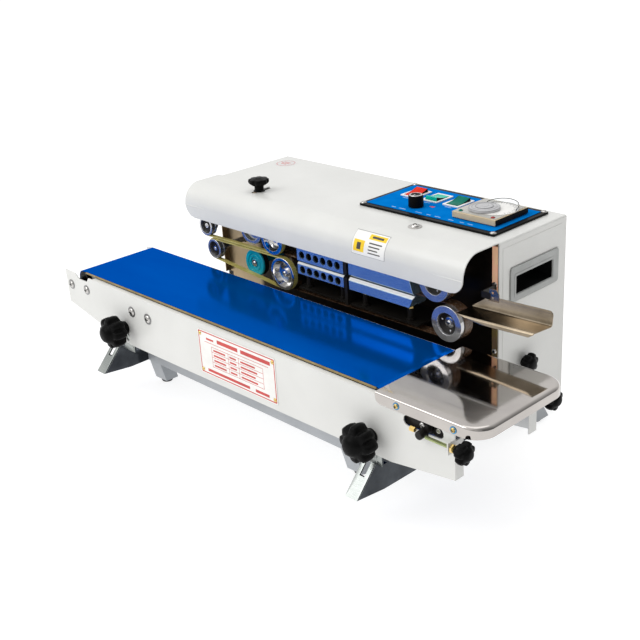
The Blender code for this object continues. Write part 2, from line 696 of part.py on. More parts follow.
def make_trough():
    """Outlet guide: floor, rear wall and drooping front lip, rising a little to the exit."""
    rows = (
        (288.0, 360.0, -1.5, 207.0),
        (247.0, 367.0, 0.0, 213.0),
        (249.0, 371.0, 31.0, 213.0),
        (276.0, 371.0, 33.0, 232.0),
    )
    cage = bmesh.new()
    bmesh.ops.create_grid(cage, x_segments=1, y_segments=len(rows) - 1, size=1.0)
    ordered = sorted(cage.verts, key=lambda point: (point.co.y, point.co.x))
    for index, point in enumerate(ordered):
        left, right, across, up = rows[index // 2]
        along = left if index % 2 == 0 else right
        point.co = Vector((along, across, up + (along - 247.0) * 0.04)) * MM
    trough = from_cage("outlet_trough", cage, "steel", (0.0, 0.0, 0.0))
    thicken(trough, 1.2, 0.0)
    join(trough, box("ear", (276.0, 31.8, 226.0), (290.0, 33.6, 244.0)))
    join(trough, box("foot_strap", (262.5, 32.0, 228.0), (277.5, 33.5, 238.0)))
    join(trough, box("strap", (262.5, 32.5, 228.0), (264.5, 61.9, 238.0)))
    return trough


# ---------------------------------------------------------------- controls

def make_controls():
    """Control panel with three rockers, the speed knob, and the temperature controller."""
    outline = rectangle((7.0, 77.5), (247.0, 198.0))
    wide, deep = WINDOW
    windows = [rectangle((x - wide, ROCKER_Y - deep), (x + wide, ROCKER_Y + deep))
               for name, x, raised, finish in ROCKERS]
    loops = [outline] + windows + [circle(SPEED_AT, 4.0, 12)]
    flat("control_panel", "Z", CABINET_TOP + GAP, PANEL_SURFACE, loops, "blue_panel")
    for name, x, raised, finish in ROCKERS:
        make_rocker(name, x, raised, finish)
    rest = PANEL_SURFACE + GAP
    profile = [(0.0, 17.0), (10.0, 17.0), (11.0, 15.5), (11.0, 0.0), (3.0, 0.0), (3.0, -10.0),
               (0.0, -10.0)]
    turned("speed_knob", profile, (*SPEED_AT, rest), (0.0, 0.0, 1.0), "black_plastic", 24)
    make_controller(rest)


def make_controller(rest):
    """Temperature controller: case, round scale cover on it, and the dial sunk into both."""
    case = box("controller_case", (*CASE_LOW, rest), (*CASE_HIGH, CASE_TOP), "beige_plastic")
    rim = [(0.0, COVER_TOP), (COVER_RADIUS, COVER_TOP), (COVER_RADIUS, CASE_TOP - 2.0),
           (0.0, CASE_TOP - 2.0)]
    join(case, turned("scale_cover", rim, (*COVER_AT, 0.0), (0.0, 0.0, 1.0), None, 32))
    recess = [(0.0, COVER_TOP + 5.0), (22.7, COVER_TOP + 5.0), (22.7, DIAL_BASE - GAP),
              (0.0, DIAL_BASE - GAP)]
    cut(case, turned("dial_recess", recess, (*DIAL_AT, 0.0), (0.0, 0.0, 1.0), None, 28))
    dial = [(0.0, 9.7), (19.5, 9.7), (21.5, 7.5), (21.5, 0.0), (0.0, 0.0)]
    turned("temperature_dial", dial, (*DIAL_AT, DIAL_BASE), (0.0, 0.0, 1.0), "grey_plastic", 28)


def make_rocker(name, x, raised, finish):
    """Rocker with two sloping halves, on a pivot along X at the panel's level."""
    outline = [(-14.0, 0.5), (-12.5, -6.0), (0.0, -10.0), (12.5, -6.0), (14.0, 0.5), (13.2, 8.0),
               (0.0, 4.2), (-13.4, 3.4)]
    points = [(ROCKER_Y + raised * across, ROCKER_PIVOT + up) for across, up in outline]
    low, high = x - ROCKER_HALF, x + ROCKER_HALF
    flat(name, "X", low, high, [points], finish, (ROCKER_Y, ROCKER_PIVOT))


# ---------------------------------------------------------------- inside the cabinet

def make_inner_pieces():
    """Geared drive motor, cooling fan and mains inlet."""
    motor = [(0.0, 46.0), (26.0, 46.0), (26.0, -40.0), (0.0, -40.0)]
    housing = turned("drive_motor", motor, (130.0, 138.0, 118.0), (1.0, 0.0, 0.0), "dark_steel", 20)
    join(housing, box("gearbox", (100.0, 104.0, 90.0), (70.0, 172.0, 150.0)))
    frame_low, frame_high = (-40.0, 100.0, 170.0), (40.0, 125.0, 250.0)
    fan = box("fan_housing", frame_low, frame_high, "black_plastic")
    bore = [(0.0, 20.0), (36.0, 20.0), (36.0, -20.0), (0.0, -20.0)]
    cut(fan, turned("fan_bore", bore, (0.0, 112.5, 210.0), (0.0, -1.0, 0.0), None, 24))
    for low, high in (((-37.0, 120.0, 207.0), (37.0, 124.8, 213.0)),
                      ((-3.0, 120.0, 173.0), (3.0, 124.8, 247.0))):
        join(fan, box("spoke", low, high))
    blades = star(34.0, 20.0, 7, 6)
    shifted = [(across, up + 210.0) for across, up in blades]
    flat("fan_impeller", "Y", 103.0, 118.0, [shifted], "black_plastic", (0.0, 210.0))
    inlet = box("power_inlet", (-252.0, 209.0 + GAP, 68.0), (-220.0, 211.0, 92.0), "black_plastic")
    join(inlet, box("inlet_body", (-249.0, 190.0, 71.0), (-223.0, 210.0, 89.0)))
    cut(inlet, box("inlet_mouth", (-246.0, 193.0, 74.0), (-226.0, 214.0, 86.0)))


# ---------------------------------------------------------------- conveyor

def panel_outline(left, left_top):
    """Side panel in X and Z: level middle, tapered ends, notch over the drive roller."""
    drive = DRIVE_ROLLER[0]
    notch = [(drive + 27.5, PANEL_TOP), (drive + 21.5, 163.5), (drive - 1.5, 163.5),
             (drive - 9.5, PANEL_TOP)]
    edge = [(left, left_top), (left + 1.0, 117.0), (-345.0, 101.0), (-284.0, 87.5),
            (-250.0, 85.0), (287.0, 88.0), (330.0, 94.0), (PANEL_RIGHT, 101.0),
            (PANEL_RIGHT, PANEL_TOP)]
    return edge + notch


def make_panel(name, span, outline, outward, rod_y):
    """Side panel with its height slots, tension slot and the tab that carries the screw."""
    near, far = span
    loops = [outline]
    for x in CLAMP_X:
        loops.append(long_slot((x, CLAMP_Z - LIFT), (x, CLAMP_Z), 5.0, 5))
    loops.append(long_slot((314.5, IDLE_ROLLER[1]), (361.0, IDLE_ROLLER[1]), 7.0, 5))
    panel = to_mesh(flat(name, "Y", near, far, loops))
    coat(panel, "white_paint")
    middle = (near + far) / 2
    tab_end = middle - outward * 14.0
    lug_end = middle + outward * 13.0
    tab = box("tab", (PANEL_RIGHT - 1.5, min(middle, tab_end), 101.0),
              (PANEL_RIGHT, max(middle, tab_end), 152.0))
    lug = box("lug", (PANEL_RIGHT - 1.5, min(middle, lug_end), 139.0),
              (PANEL_RIGHT, max(middle, lug_end), 154.0))
    join(panel, tab, lug)
    hole = flat("rod_hole", "X", PANEL_RIGHT - 5.0, PANEL_RIGHT + 5.0,
                [circle((rod_y, TENSION_Z), 3.5, 12)])
    cut(panel, hole)
    return panel


def make_panels():
    """Both side panels; the front one has an inward flange along its top edge."""
    front = make_panel("front_panel", FRONT_PANEL, panel_outline(PANEL_LEFT, PANEL_TOP + 1.0),
                       -1.0, TENSION_Y[0])
    join(front, box("top_flange", (FLANGE[0], FRONT_PANEL[1] - 0.6, PANEL_TOP - 1.5),
                    (FLANGE[1], BELT_FRONT - 1.6, PANEL_TOP)))
    make_panel("rear_panel", REAR_PANEL, panel_outline(REAR_LEFT, PANEL_TOP - 1.5), 1.0,
               TENSION_Y[1])


def make_bed():
    """Slider bed inside the belt loop, with three cross bars that reach the side panels."""
    bed = box("slider_bed", (BED_LEFT, BELT_FRONT + 2.0, 160.0), (NOSE[0], BELT_BACK - 2.0, 173.4),
              "steel")
    cut(bed, box("hollow", (BED_LEFT + 2.0, BELT_FRONT + 4.0, 150.0),
                 (NOSE[0] - 8.0, BELT_BACK - 4.0, 171.6)))
    nose = [(0.0, 66.0), (NOSE[2] - 0.4, 66.0), (NOSE[2] - 0.4, -66.0), (0.0, -66.0)]
    middle = (BELT_FRONT + BELT_BACK) / 2
    join(bed, turned("nose", nose, (NOSE[0], middle, NOSE[1]), (0.0, -1.0, 0.0), None, 16))
    for x in (-300.0, -60.0, 180.0):
        join(bed, box("cross_bar", (x, FRONT_PANEL[1] + GAP, 153.0),
                      (x + 14.0, REAR_PANEL[0] - GAP, 161.0)))


def make_rollers():
    """Drive and idle rollers, turning between the side panels."""
    middle = (FRONT_PANEL[1] + REAR_PANEL[0]) / 2
    reach = (REAR_PANEL[0] - FRONT_PANEL[1]) / 2 - 2 * GAP
    half = (BELT_BACK - BELT_FRONT) / 2
    for name, centre in (("drive_roller", DRIVE_ROLLER), ("idle_roller", IDLE_ROLLER)):
        profile = [(0.0, reach), (4.0, reach), (4.0, half), (ROLLER_RADIUS - 1.0, half),
                   (ROLLER_RADIUS, half - 1.0), (ROLLER_RADIUS, 1.0 - half),
                   (ROLLER_RADIUS - 1.0, -half), (4.0, -half), (4.0, -reach), (0.0, -reach)]
        turned(name, profile, (centre[0], middle, centre[1]), (0.0, -1.0, 0.0), "steel", 24)


def make_belt():
    drive = (DRIVE_ROLLER[0], DRIVE_ROLLER[1], ROLLER_RADIUS + GAP)
    idle = (IDLE_ROLLER[0], IDLE_ROLLER[1], ROLLER_RADIUS + GAP)
    belt("conveyor_belt", [drive, idle, NOSE], BELT_FRONT, BELT_BACK, BELT_THICK, "blue_belt")


def make_tray():
    """Outlet tray: a polished sheet pan turned down round its front, right and back edges."""
    cage = bmesh.new()
    low = Vector((TRAY_LEFT, TRAY_FRONT, TRAY_SKIRT))
    high = Vector((TRAY_RIGHT, TRAY_BACK, TRAY_TOP))
    bmesh.ops.create_cube(cage, size=1.0)
    bmesh.ops.scale(cage, vec=(high - low) * MM, verts=cage.verts)
    doomed = [face for face in cage.faces if face.normal.z < -0.5 or face.normal.x < -0.5]
    bmesh.ops.delete(cage, geom=doomed, context="FACES")
    upright = [edge for edge in cage.edges
               if edge.verts[0].co.x > 0.0 and edge.verts[1].co.x > 0.0
               and abs(edge.verts[0].co.z - edge.verts[1].co.z) > 0.005]
    bmesh.ops.bevel(cage, geom=upright, offset=27.0 * MM, segments=6, profile=0.5,
                    affect="EDGES", clamp_overlap=False)
    tray = from_cage("outlet_tray", cage, "polished_steel", (low + high) / 2)
    thicken(tray, 1.2)
    return tray


def make_tension():
    """Sliding blocks that hold the idle roller's axle, and the screws that pull them."""
    sides = (("front", -1.0, FRONT_PANEL, TENSION_Y[0]), ("rear", 1.0, REAR_PANEL, TENSION_Y[1]))
    for side, outward, panel, rod_y in sides:
        outer_face = panel[0] if outward < 0 else panel[1]
        inner_face = panel[1] if outward < 0 else panel[0]
        y1 = inner_face - outward * 5.5
        y2 = outer_face + outward * 0.4
        y3 = outer_face + outward * 12.0
        x, z = IDLE_ROLLER
        slider = box("tension_block_" + side, (x - 6.5, min(y1, y2), z - 5.9),
                     (x + 6.5, max(y1, y2), z + 5.9), "dark_steel")
        eye_low, eye_high = min(y2, y3), max(y2, y3)
        join(slider, box("eye", (x - 6.0, eye_low - 0.4, TENSION_Z - 5.5),
                         (x + 6.0, eye_high + 0.4, TENSION_Z + 5.5)))
        bore_end = inner_face + outward * 2.0
        hole = [circle(IDLE_ROLLER, 4.0 + GAP, 16)]
        cut(slider, flat("axle_bore", "Y", min(y1, bore_end) - 1.0, max(y1, bore_end) + 1.0, hole))
        knob_at = (PANEL_RIGHT + 7.0, rod_y, TENSION_Z)
        star_knob("tension_knob_" + side, knob_at, (1.0, 0.0, 0.0), 14.0, 10.0, 4.0, 7.0,
                  (3.0, knob_at[0] - x - 7.0), 7)


def make_conveyor_motor():
    """Motor between the side panels, under the belt."""
    profile = [(0.0, 66.0), (23.0, 66.0), (23.0, 40.0), (18.0, 40.0), (18.0, 0.0), (0.0, 0.0)]
    turned("conveyor_motor", profile, (-219.0, -100.2, 118.0), (0.0, -1.0, 0.0), "dark_steel", 20)


def make_knobs():
    """Star knobs: clamps on the arms, one on each cabinet end, the pressure screw on top."""
    start = FRONT_PANEL[0] - 1.0
    neck, grip = 10.0, 14.0
    dome = start - CLAMP_TIP - neck - grip
    for side, x in zip(("left", "right"), CLAMP_X):
        star_knob("clamp_knob_" + side, (x, start, CLAMP_Z), (0.0, -1.0, 0.0), 25.0, grip, dome,
                  neck, (4.0, 9.0))
    for side, wall, outward in (("right", CABINET_RIGHT, 1.0), ("left", CABINET_LEFT, -1.0)):
        star_knob("end_knob_" + side, (wall + outward, 115.0, 110.0), (outward, 0.0, 0.0),
                  15.0, 10.0, 3.0, 6.0, (3.5, 10.0), 6)
    star_knob("pressure_knob", (*PRESS_SCREW, 297.0), (0.0, 0.0, 1.0), 15.9, 7.0, 1.0, 11.0,
              (3.0, 38.0), 8)


make_cabinet()
make_base()
make_feet()
make_arm("support_arm_left", -288.0, CLAMP_X[0])
make_arm("support_arm_right", 258.2, CLAMP_X[1])
make_handle("handle_right", CABINET_RIGHT, 1.0)
make_handle("handle_left", CABINET_LEFT, -1.0)
make_hood()
make_mounting_plate()
make_bearing_plate()
make_wheels()
make_press_pair()
make_bands()
make_blocks()
make_block_carrier()
make_trough()
make_controls()
make_inner_pieces()
make_panels()
make_bed()
make_rollers()
make_belt()
make_tray()
make_tension()
make_conveyor_motor()
make_knobs()
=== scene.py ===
"""Continuous band sealer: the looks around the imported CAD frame. Sizes are in millimetres."""
from math import acos, atan2, cos, degrees, dist, hypot, pi, radians, sin, sqrt

import bmesh
import bpy
from mathutils import Matrix, Vector


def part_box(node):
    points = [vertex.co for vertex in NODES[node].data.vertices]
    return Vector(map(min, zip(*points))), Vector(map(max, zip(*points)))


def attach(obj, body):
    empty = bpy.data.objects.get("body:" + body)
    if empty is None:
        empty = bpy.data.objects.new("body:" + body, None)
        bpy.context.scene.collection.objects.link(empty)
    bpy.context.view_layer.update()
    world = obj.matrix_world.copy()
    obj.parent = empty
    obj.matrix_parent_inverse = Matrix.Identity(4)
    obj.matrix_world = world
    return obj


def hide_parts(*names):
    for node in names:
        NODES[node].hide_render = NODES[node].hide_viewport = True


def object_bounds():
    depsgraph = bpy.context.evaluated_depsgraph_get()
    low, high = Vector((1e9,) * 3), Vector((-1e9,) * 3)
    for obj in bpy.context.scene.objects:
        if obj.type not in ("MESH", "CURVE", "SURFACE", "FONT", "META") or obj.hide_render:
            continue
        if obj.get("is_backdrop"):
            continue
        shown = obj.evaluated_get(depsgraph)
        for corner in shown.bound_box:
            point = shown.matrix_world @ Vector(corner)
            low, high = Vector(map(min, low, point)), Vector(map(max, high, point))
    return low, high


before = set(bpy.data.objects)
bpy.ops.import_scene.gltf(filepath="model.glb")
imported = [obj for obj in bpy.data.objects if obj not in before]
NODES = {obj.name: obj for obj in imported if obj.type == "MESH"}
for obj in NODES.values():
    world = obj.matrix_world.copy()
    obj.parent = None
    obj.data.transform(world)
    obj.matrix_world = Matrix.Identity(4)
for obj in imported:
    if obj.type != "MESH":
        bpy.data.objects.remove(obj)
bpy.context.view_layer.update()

MM = 0.001
WELD = 0.01 * MM                 # vertices closer than this are one
UP = (0, 0, 1)
FRONT = (0, -1, 0)
BACK = (0, 1, 0)
RIGHT = (1, 0, 0)
LEFT = (-1, 0, 0)
EVEN = (1, 1, 1)           # texture stretches: none, grain along X, long streaks along X
ALONG_X = (0.05, 1, 1)
STREAKS = (0.3, 1, 1)
WAVE_SCALE = 0.314               # Blender's wave texture repeats once per 2 pi / 20


# ---------------------------------------------------------------- materials

def principled(material):
    return material.node_tree.nodes["Principled BSDF"]


def connect(tree, socket, value):
    """Link a node's output to a socket, or set the socket to a plain value."""
    if isinstance(value, bpy.types.NodeSocket):
        tree.links.new(value, socket)
    else:
        socket.default_value = value


def add_node(tree, kind, settings=None, **values):
    """Shader node with its settings and sockets; an underscore stands for a socket name's space."""
    node = tree.nodes.new("ShaderNode" + kind)
    for name, value in (settings or {}).items():
        setattr(node, name, value)
    for name, value in values.items():
        connect(tree, node.inputs[name.replace("_", " ")], value)
    return node


def shader(name, colour, roughness, metallic=0, **sockets):
    material = bpy.data.materials.new(name)
    material.use_nodes = True
    values = {"Base_Color": (*colour, 1), "Roughness": roughness, "Metallic": metallic, **sockets}
    for socket, value in values.items():
        principled(material).inputs[socket.replace("_", " ")].default_value = value
    return material


def mapped(material, stretch=EVEN):
    """Texture coordinates in object space, in millimetres, stretched per axis."""
    tree = material.node_tree
    return add_node(tree, "Mapping", Vector=add_node(tree, "TexCoord").outputs["Object"],
        Scale=[value / MM for value in stretch]).outputs["Vector"]


def noise(material, scale, stretch=EVEN, detail=5):
    return add_node(material.node_tree, "TexNoise", Vector=mapped(material, stretch), Scale=scale,
        Detail=detail).outputs["Fac"]


def waves(material, pitch, distortion, settings, **values):
    """Stripes or rings that repeat at a pitch in millimetres."""
    return add_node(material.node_tree, "TexWave", settings, Vector=mapped(material),
        Scale=WAVE_SCALE / pitch, Distortion=distortion, **values).outputs["Fac"]


def ramp(tree, source, *stops):
    """Colours along a source value, as (position, colour) stops."""
    node = add_node(tree, "ValToRGB", Fac=source)
    marks = node.color_ramp.elements
    while len(marks) < len(stops):
        marks.new(0.5)
    for mark, (position, colour) in zip(marks, stops):
        mark.position = position
        mark.color = (*colour, 1)
    return node.outputs["Color"]


def maths(tree, operation, *values):
    node = add_node(tree, "Math", {"operation": operation})
    for socket, value in zip(node.inputs, values):
        connect(tree, socket, value)
    return node.outputs["Value"]


def mixed(tree, factor, first, second, blend="MIX"):
    return add_node(tree, "Mix", {"data_type": "RGBA", "blend_type": blend}, Factor=factor, A=first,
        B=second).outputs["Result"]


def feed(material, source, socket):
    material.node_tree.links.new(source, principled(material).inputs[socket])


def gloss(material, source, low, high):
    """Roughness that wanders between two values."""
    node = add_node(material.node_tree, "MapRange", Value=source, To_Min=low, To_Max=high)
    feed(material, node.outputs["Result"], "Roughness")


def bump(material, source, height, strength):
    node = add_node(material.node_tree, "Bump", Height=source, Strength=strength,
        Distance=height * MM)
    feed(material, node.outputs["Normal"], "Normal")


def tones(material, source, dark, light):
    feed(material, ramp(material.node_tree, source, (0.3, dark), (0.7, light)), "Base Color")


def painted(name, dark, light, roughness, coat=0.25):
    """Powder coat: faint cloudy tone, orange peel and uneven gloss."""
    material = shader(name, light, roughness, Coat_Weight=coat, Coat_Roughness=0.18)
    tones(material, noise(material, 0.012), dark, light)
    gloss(material, noise(material, 0.06), roughness - 0.06, roughness + 0.08)
    bump(material, noise(material, 0.9, detail=2), 0.05, 0.25)
    return material


def brushed(name, dark, light, roughness, stretch=ALONG_X, height=0.02):
    """Sheet or bar metal with a grain along one axis."""
    material = shader(name, light, roughness, 1)
    tones(material, noise(material, 0.02), dark, light)
    grain = noise(material, 0.6, stretch, 3)
    gloss(material, grain, roughness - 0.08, roughness + 0.10)
    bump(material, grain, height, 0.3)
    return material


def lathe(name, dark, light, roughness, pitch=0.35):
    """Turned metal: fine rings round the piece's own Z axis."""
    material = shader(name, light, roughness, 1)
    tones(material, noise(material, 0.05), dark, light)
    rings = waves(material, pitch, 0.6, {"wave_type": "RINGS", "rings_direction": "Z"}, Detail=2)
    gloss(material, rings, roughness - 0.04, roughness + 0.07)
    bump(material, rings, 0.01, 0.15)
    return material


def moulded(name, dark, light, roughness, grain=0.04):
    material = shader(name, light, roughness)
    tones(material, noise(material, 0.05), dark, light)
    texture = noise(material, 1.6, detail=3)
    gloss(material, texture, roughness - 0.07, roughness + 0.09)
    bump(material, texture, grain, 0.35)
    return material


def woven(name, dark, light, roughness, pitch):
    """Coated glass-fibre weave: two crossed sets of threads."""
    material = shader(name, light, roughness)
    threads = [waves(material, pitch, 0.3, {"bands_direction": axis}) for axis in "XY"]
    tones(material, noise(material, 0.08), dark, light)
    gloss(material, noise(material, 0.3), roughness - 0.1, roughness + 0.1)
    bump(material, maths(material.node_tree, "MULTIPLY", *threads), 0.06, 0.4)
    return material


def zinc_plate():
    """Yellow chromated sheet, painted near black over the stretch behind the blocks as shade."""
    shade_start, shade_full, stile = -214 * MM, -203 * MM, 256.2 * MM
    shade_colour, brown, tan = (0.030, 0.022, 0.016, 1), (0.36, 0.27, 0.16), (0.50, 0.39, 0.25)
    material = brushed("zinc_plate", (0.30, 0.22, 0.12), (0.47, 0.37, 0.22), 0.34)
    tree = material.node_tree
    place = add_node(tree, "TexCoord").outputs["Object"]
    along = add_node(tree, "SeparateXYZ", Vector=place).outputs["X"]
    # painted shade: the plate turns near black from this X onward, up to the stile
    shade_ramp = add_node(tree, "MapRange", Value=along, From_Min=shade_start, From_Max=shade_full)
    inside = maths(tree, "LESS_THAN", along, stile)
    rainbow = ramp(tree, noise(material, 0.016, (0.2, 1, 1)), (0.30, (0.62, 0.40, 0.30)),
        (0.45, (0.66, 0.50, 0.20)), (0.55, (0.60, 0.36, 0.28)), (0.70, (0.50, 0.52, 0.22)))
    plain = ramp(tree, noise(material, 0.02), (0.3, brown), (0.7, tan))
    colour = mixed(tree, maths(tree, "MULTIPLY", shade_ramp.outputs["Result"], inside),
        mixed(tree, inside, rainbow, plain), shade_colour)
    feed(material, colour, "Base Color")
    return material


def belt_blue():
    material = shader("belt_blue", (0, 0.06, 0.42), 0.12, 0.6, Specular_IOR_Level=0,
        Specular_Tint=(0.02, 0.45, 0.9, 1))
    tones(material, noise(material, 0.01, STREAKS), (0, 0.080, 0.38), (0, 0.108, 0.46))
    gloss(material, noise(material, 0.15), 0.08, 0.16)
    bump(material, noise(material, 0.35, STREAKS, 2), 0.03, 0.15)
    return material


PAINT = painted("white_powder_coat", (0.67, 0.67, 0.645), (0.72, 0.72, 0.695), 0.36)
GREY_PAINT = painted("grey_paint", (0.36, 0.38, 0.40), (0.46, 0.48, 0.50), 0.45)
ZINC = zinc_plate()
BLUE_BELT = belt_blue()
STEEL = lathe("turned_steel", (0.50, 0.50, 0.51), (0.66, 0.66, 0.67), 0.14)
CHROME_TURNED = lathe("turned_chrome", (0.66, 0.66, 0.67), (0.82, 0.82, 0.83), 0.10, 0.6)
MIRROR_TURNED = lathe("bright_turned_steel", (0.62, 0.61, 0.60), (0.80, 0.79, 0.78), 0.10, 0.5)
# two copies of the arms' chrome: a dark one as painted dark reflection, a bright one as painted
# highlight
CHROME_PAINTED_DARK = brushed("chrome_painted_dark_reflection", (0.030, 0.033, 0.038), (0.10, 0.11, 0.12), 0.12, (0.1, 1, 1), 0.01)
CHROME_PAINTED_HIGHLIGHT = brushed("chrome_painted_highlight", (0.30, 0.32, 0.31), (0.44, 0.46, 0.44), 0.26, (0.1, 1, 1),
    0.01)
PLAIN_STEEL = brushed("plain_steel", (0.48, 0.47, 0.45), (0.64, 0.62, 0.60), 0.26, (0.06, 1, 1))
DULL_STEEL = brushed("dull_steel", (0.24, 0.24, 0.24), (0.36, 0.36, 0.36), 0.34, (0.06, 1, 1))
BLUE_STEEL = brushed("blued_steel", (0.06, 0.22, 0.42), (0.14, 0.36, 0.56), 0.24, (0.06, 1, 1))
DARK_ROLLER = brushed("dark_roller", (0.020, 0.020, 0.022), (0.050, 0.050, 0.055), 0.22,
    (1, 0.1, 1))
TROUGH_STEEL = brushed("trough_steel", (0.20, 0.16, 0.11), (0.44, 0.37, 0.28), 0.20)
MIRROR = brushed("mirror_stainless", (0.46, 0.43, 0.41), (0.54, 0.51, 0.48), 0.055, height=0.003)
ALUMINIUM = brushed("milled_aluminium", (0.48, 0.66, 0.76), (0.62, 0.80, 0.88), 0.13, height=0.01)
BRASS = lathe("brass", (0.62, 0.43, 0.14), (0.82, 0.62, 0.26), 0.22)
GREEN_BRASS = lathe("passivated_rod", (0.30, 0.36, 0.16), (0.46, 0.50, 0.26), 0.24)
BLACK_STEEL = painted("blackened_steel", (0.006, 0.005, 0.004), (0.016, 0.014, 0.012), 0.34, 0)
# near black filler painted as shade inside recesses and holes
RECESS_SHADE = moulded("deep_shade", (0.0012, 0.0011, 0.0010), (0.003, 0.003, 0.003), 0.7)
BAKELITE = moulded("black_bakelite", (0.002, 0.002, 0.002), (0.005, 0.005, 0.005), 0.36)
BLACK_PLASTIC = moulded("black_plastic", (0.004, 0.004, 0.004), (0.010, 0.010, 0.010), 0.34)
GREY_PLASTIC = moulded("grey_plastic", (0.34, 0.35, 0.34), (0.42, 0.43, 0.42), 0.42)
DISC_GREY = moulded("clear_grey_disc", (0.38, 0.38, 0.39), (0.52, 0.52, 0.53), 0.12, 0.01)
FACE_GREY = moulded("controller_face", (0.40, 0.39, 0.36), (0.50, 0.49, 0.45), 0.26, 0.01)
BEIGE = moulded("beige_plastic", (0.54, 0.42, 0.25), (0.66, 0.53, 0.34), 0.36)
PALE = moulded("white_plastic", (0.82, 0.81, 0.79), (0.90, 0.89, 0.87), 0.30, 0.01)
PALE_BLUE = moulded("pale_blue_print", (0.25, 0.48, 0.80), (0.35, 0.58, 0.88), 0.30, 0.004)
MARK_GREY = moulded("mark_grey", (0.62, 0.61, 0.60), (0.70, 0.69, 0.68), 0.34, 0.004)
STILE_PINK_GLOW = moulded("stile_pink_painted_glow", (0.98, 0.46, 0.34), (0.95, 0.80, 0.40), 0.30, 0.004)
BLUE_FACE = moulded("blue_overlay", (0, 0.15, 0.52), (0.002, 0.19, 0.60), 0.22, 0.008)
RED = moulded("red_lens", (0.62, 0.020, 0.008), (0.80, 0.04, 0.015), 0.16, 0.005)
DEEP_RED = moulded("deep_red_lens", (0.22, 0.006, 0.006), (0.34, 0.012, 0.010), 0.16, 0.005)
TEAL_LENS = moulded("green_lens", (0, 0.42, 0.30), (0.01, 0.58, 0.42), 0.16, 0.005)
DARK_GREEN = moulded("dark_green_lens", (0, 0.12, 0.08), (0.005, 0.20, 0.14), 0.16, 0.005)
RUBBER = moulded("black_rubber", (0.008, 0.008, 0.008), (0.018, 0.018, 0.018), 0.62, 0.08)
SILICONE = moulded("teal_silicone", (0, 0.28, 0.38), (0.004, 0.42, 0.54), 0.16, 0.02)
BAND = woven("coated_band", (0.060, 0.034, 0.020), (0.15, 0.085, 0.048), 0.26, 0.5)
OLIVE = moulded("olive_belt", (0.44, 0.37, 0.09), (0.64, 0.56, 0.18), 0.42, 0.05)
EDGE_TAN = moulded("belt_edge", (0.22, 0.15, 0.05), (0.36, 0.27, 0.11), 0.40, 0.01)
LABEL = moulded("label_white", (0.82, 0.81, 0.78), (0.90, 0.89, 0.86), 0.30, 0.004)
PLATE_RED = moulded("printed_red", (0.50, 0.035, 0.030), (0.62, 0.055, 0.045), 0.35, 0.004)
PRINT_GREY = moulded("printed_grey", (0.20, 0.20, 0.21), (0.30, 0.30, 0.31), 0.40, 0.004)
PRINT_DARK = moulded("printed_dark", (0.030, 0.028, 0.024), (0.060, 0.055, 0.05), 0.40, 0.004)
YELLOW = moulded("printed_yellow", (0.86, 0.55, 0), (0.95, 0.64, 0.01), 0.32, 0.004)
CLEAR = shader("clear_cover", (0.92, 0.94, 0.95), 0.04, 0, Transmission_Weight=1, IOR=1.46)
gloss(CLEAR, noise(CLEAR, 0.2), 0.02, 0.07)
# the stile strip gets a faint emission: painted light on a strip that lies in the hood's shade
adjusted = [(STILE_PINK_GLOW, "Emission Color", (0.98, 0.42, 0.30, 1)),
    (STILE_PINK_GLOW, "Emission Strength", 0.18), (ALUMINIUM, "Metallic", 0.82), (STEEL, "Metallic", 0.82)]
adjusted += [(plain, "Specular IOR Level", level) for plain, level in ((BAKELITE, 0.06),
    (BLACK_PLASTIC, 0.06), (BLUE_FACE, 0), (RUBBER, 0.1), (RECESS_SHADE, 0), (BLACK_STEEL, 0.2),
    (RED, 0.03), (TEAL_LENS, 0.05), (DARK_GREEN, 0.03))]
for material, socket, value in adjusted:
    principled(material).inputs[socket].default_value = value
SLOTS = {material.name: slot for slot, group in (("white_paint", (PAINT, PALE_BLUE, MARK_GREY,
    LABEL, PRINT_DARK, YELLOW)), ("grey_paint", (GREY_PAINT,)), ("steel", (STEEL, CHROME_TURNED,
    PLAIN_STEEL, DULL_STEEL, BLUE_STEEL, DARK_ROLLER, TROUGH_STEEL, GREEN_BRASS, EDGE_TAN)),
    ("chrome", (MIRROR_TURNED, CHROME_PAINTED_DARK, CHROME_PAINTED_HIGHLIGHT)), ("polished_steel", (MIRROR,)),
    ("aluminium", (ALUMINIUM,)), ("zinc", (BRASS, STILE_PINK_GLOW, ZINC)), ("dark_steel",
    (BLACK_STEEL, RECESS_SHADE)), ("black_plastic", (BAKELITE, BLACK_PLASTIC, PRINT_GREY)),
    ("grey_plastic", (GREY_PLASTIC, DISC_GREY, FACE_GREY, CLEAR)), ("beige_plastic", (BEIGE,)),
    ("blue_panel", (BLUE_FACE,)), ("red_plastic", (RED, DEEP_RED, PLATE_RED)),
    ("green_plastic", (TEAL_LENS, DARK_GREEN)), ("rubber", (RUBBER,)), ("silicone", (SILICONE,)),
    ("ptfe_brown", (BAND,)), ("olive_rubber", (OLIVE,)), ("blue_belt", (BLUE_BELT,)))
    for material in group}


# ---------------------------------------------------------------- shapes

def link(name, data, at=(0, 0, 0)):
    made = bpy.data.objects.new(name, data)
    made.location = Vector(at) * MM
    bpy.context.scene.collection.objects.link(made)
    return made


def aim(made, axis):
    """Turn a piece built along Z so that it points along axis."""
    made.rotation_mode = "QUATERNION"
    made.rotation_quaternion = Vector(UP).rotation_difference(Vector(axis))
    return made


def finish_shading(made, angle=38):
    made.data.shade_smooth()
    made.data.set_sharp_from_angle(angle=radians(angle))
    weighted = made.modifiers.new("weighted_normals", "WEIGHTED_NORMAL")
    weighted.keep_sharp = True
    return made


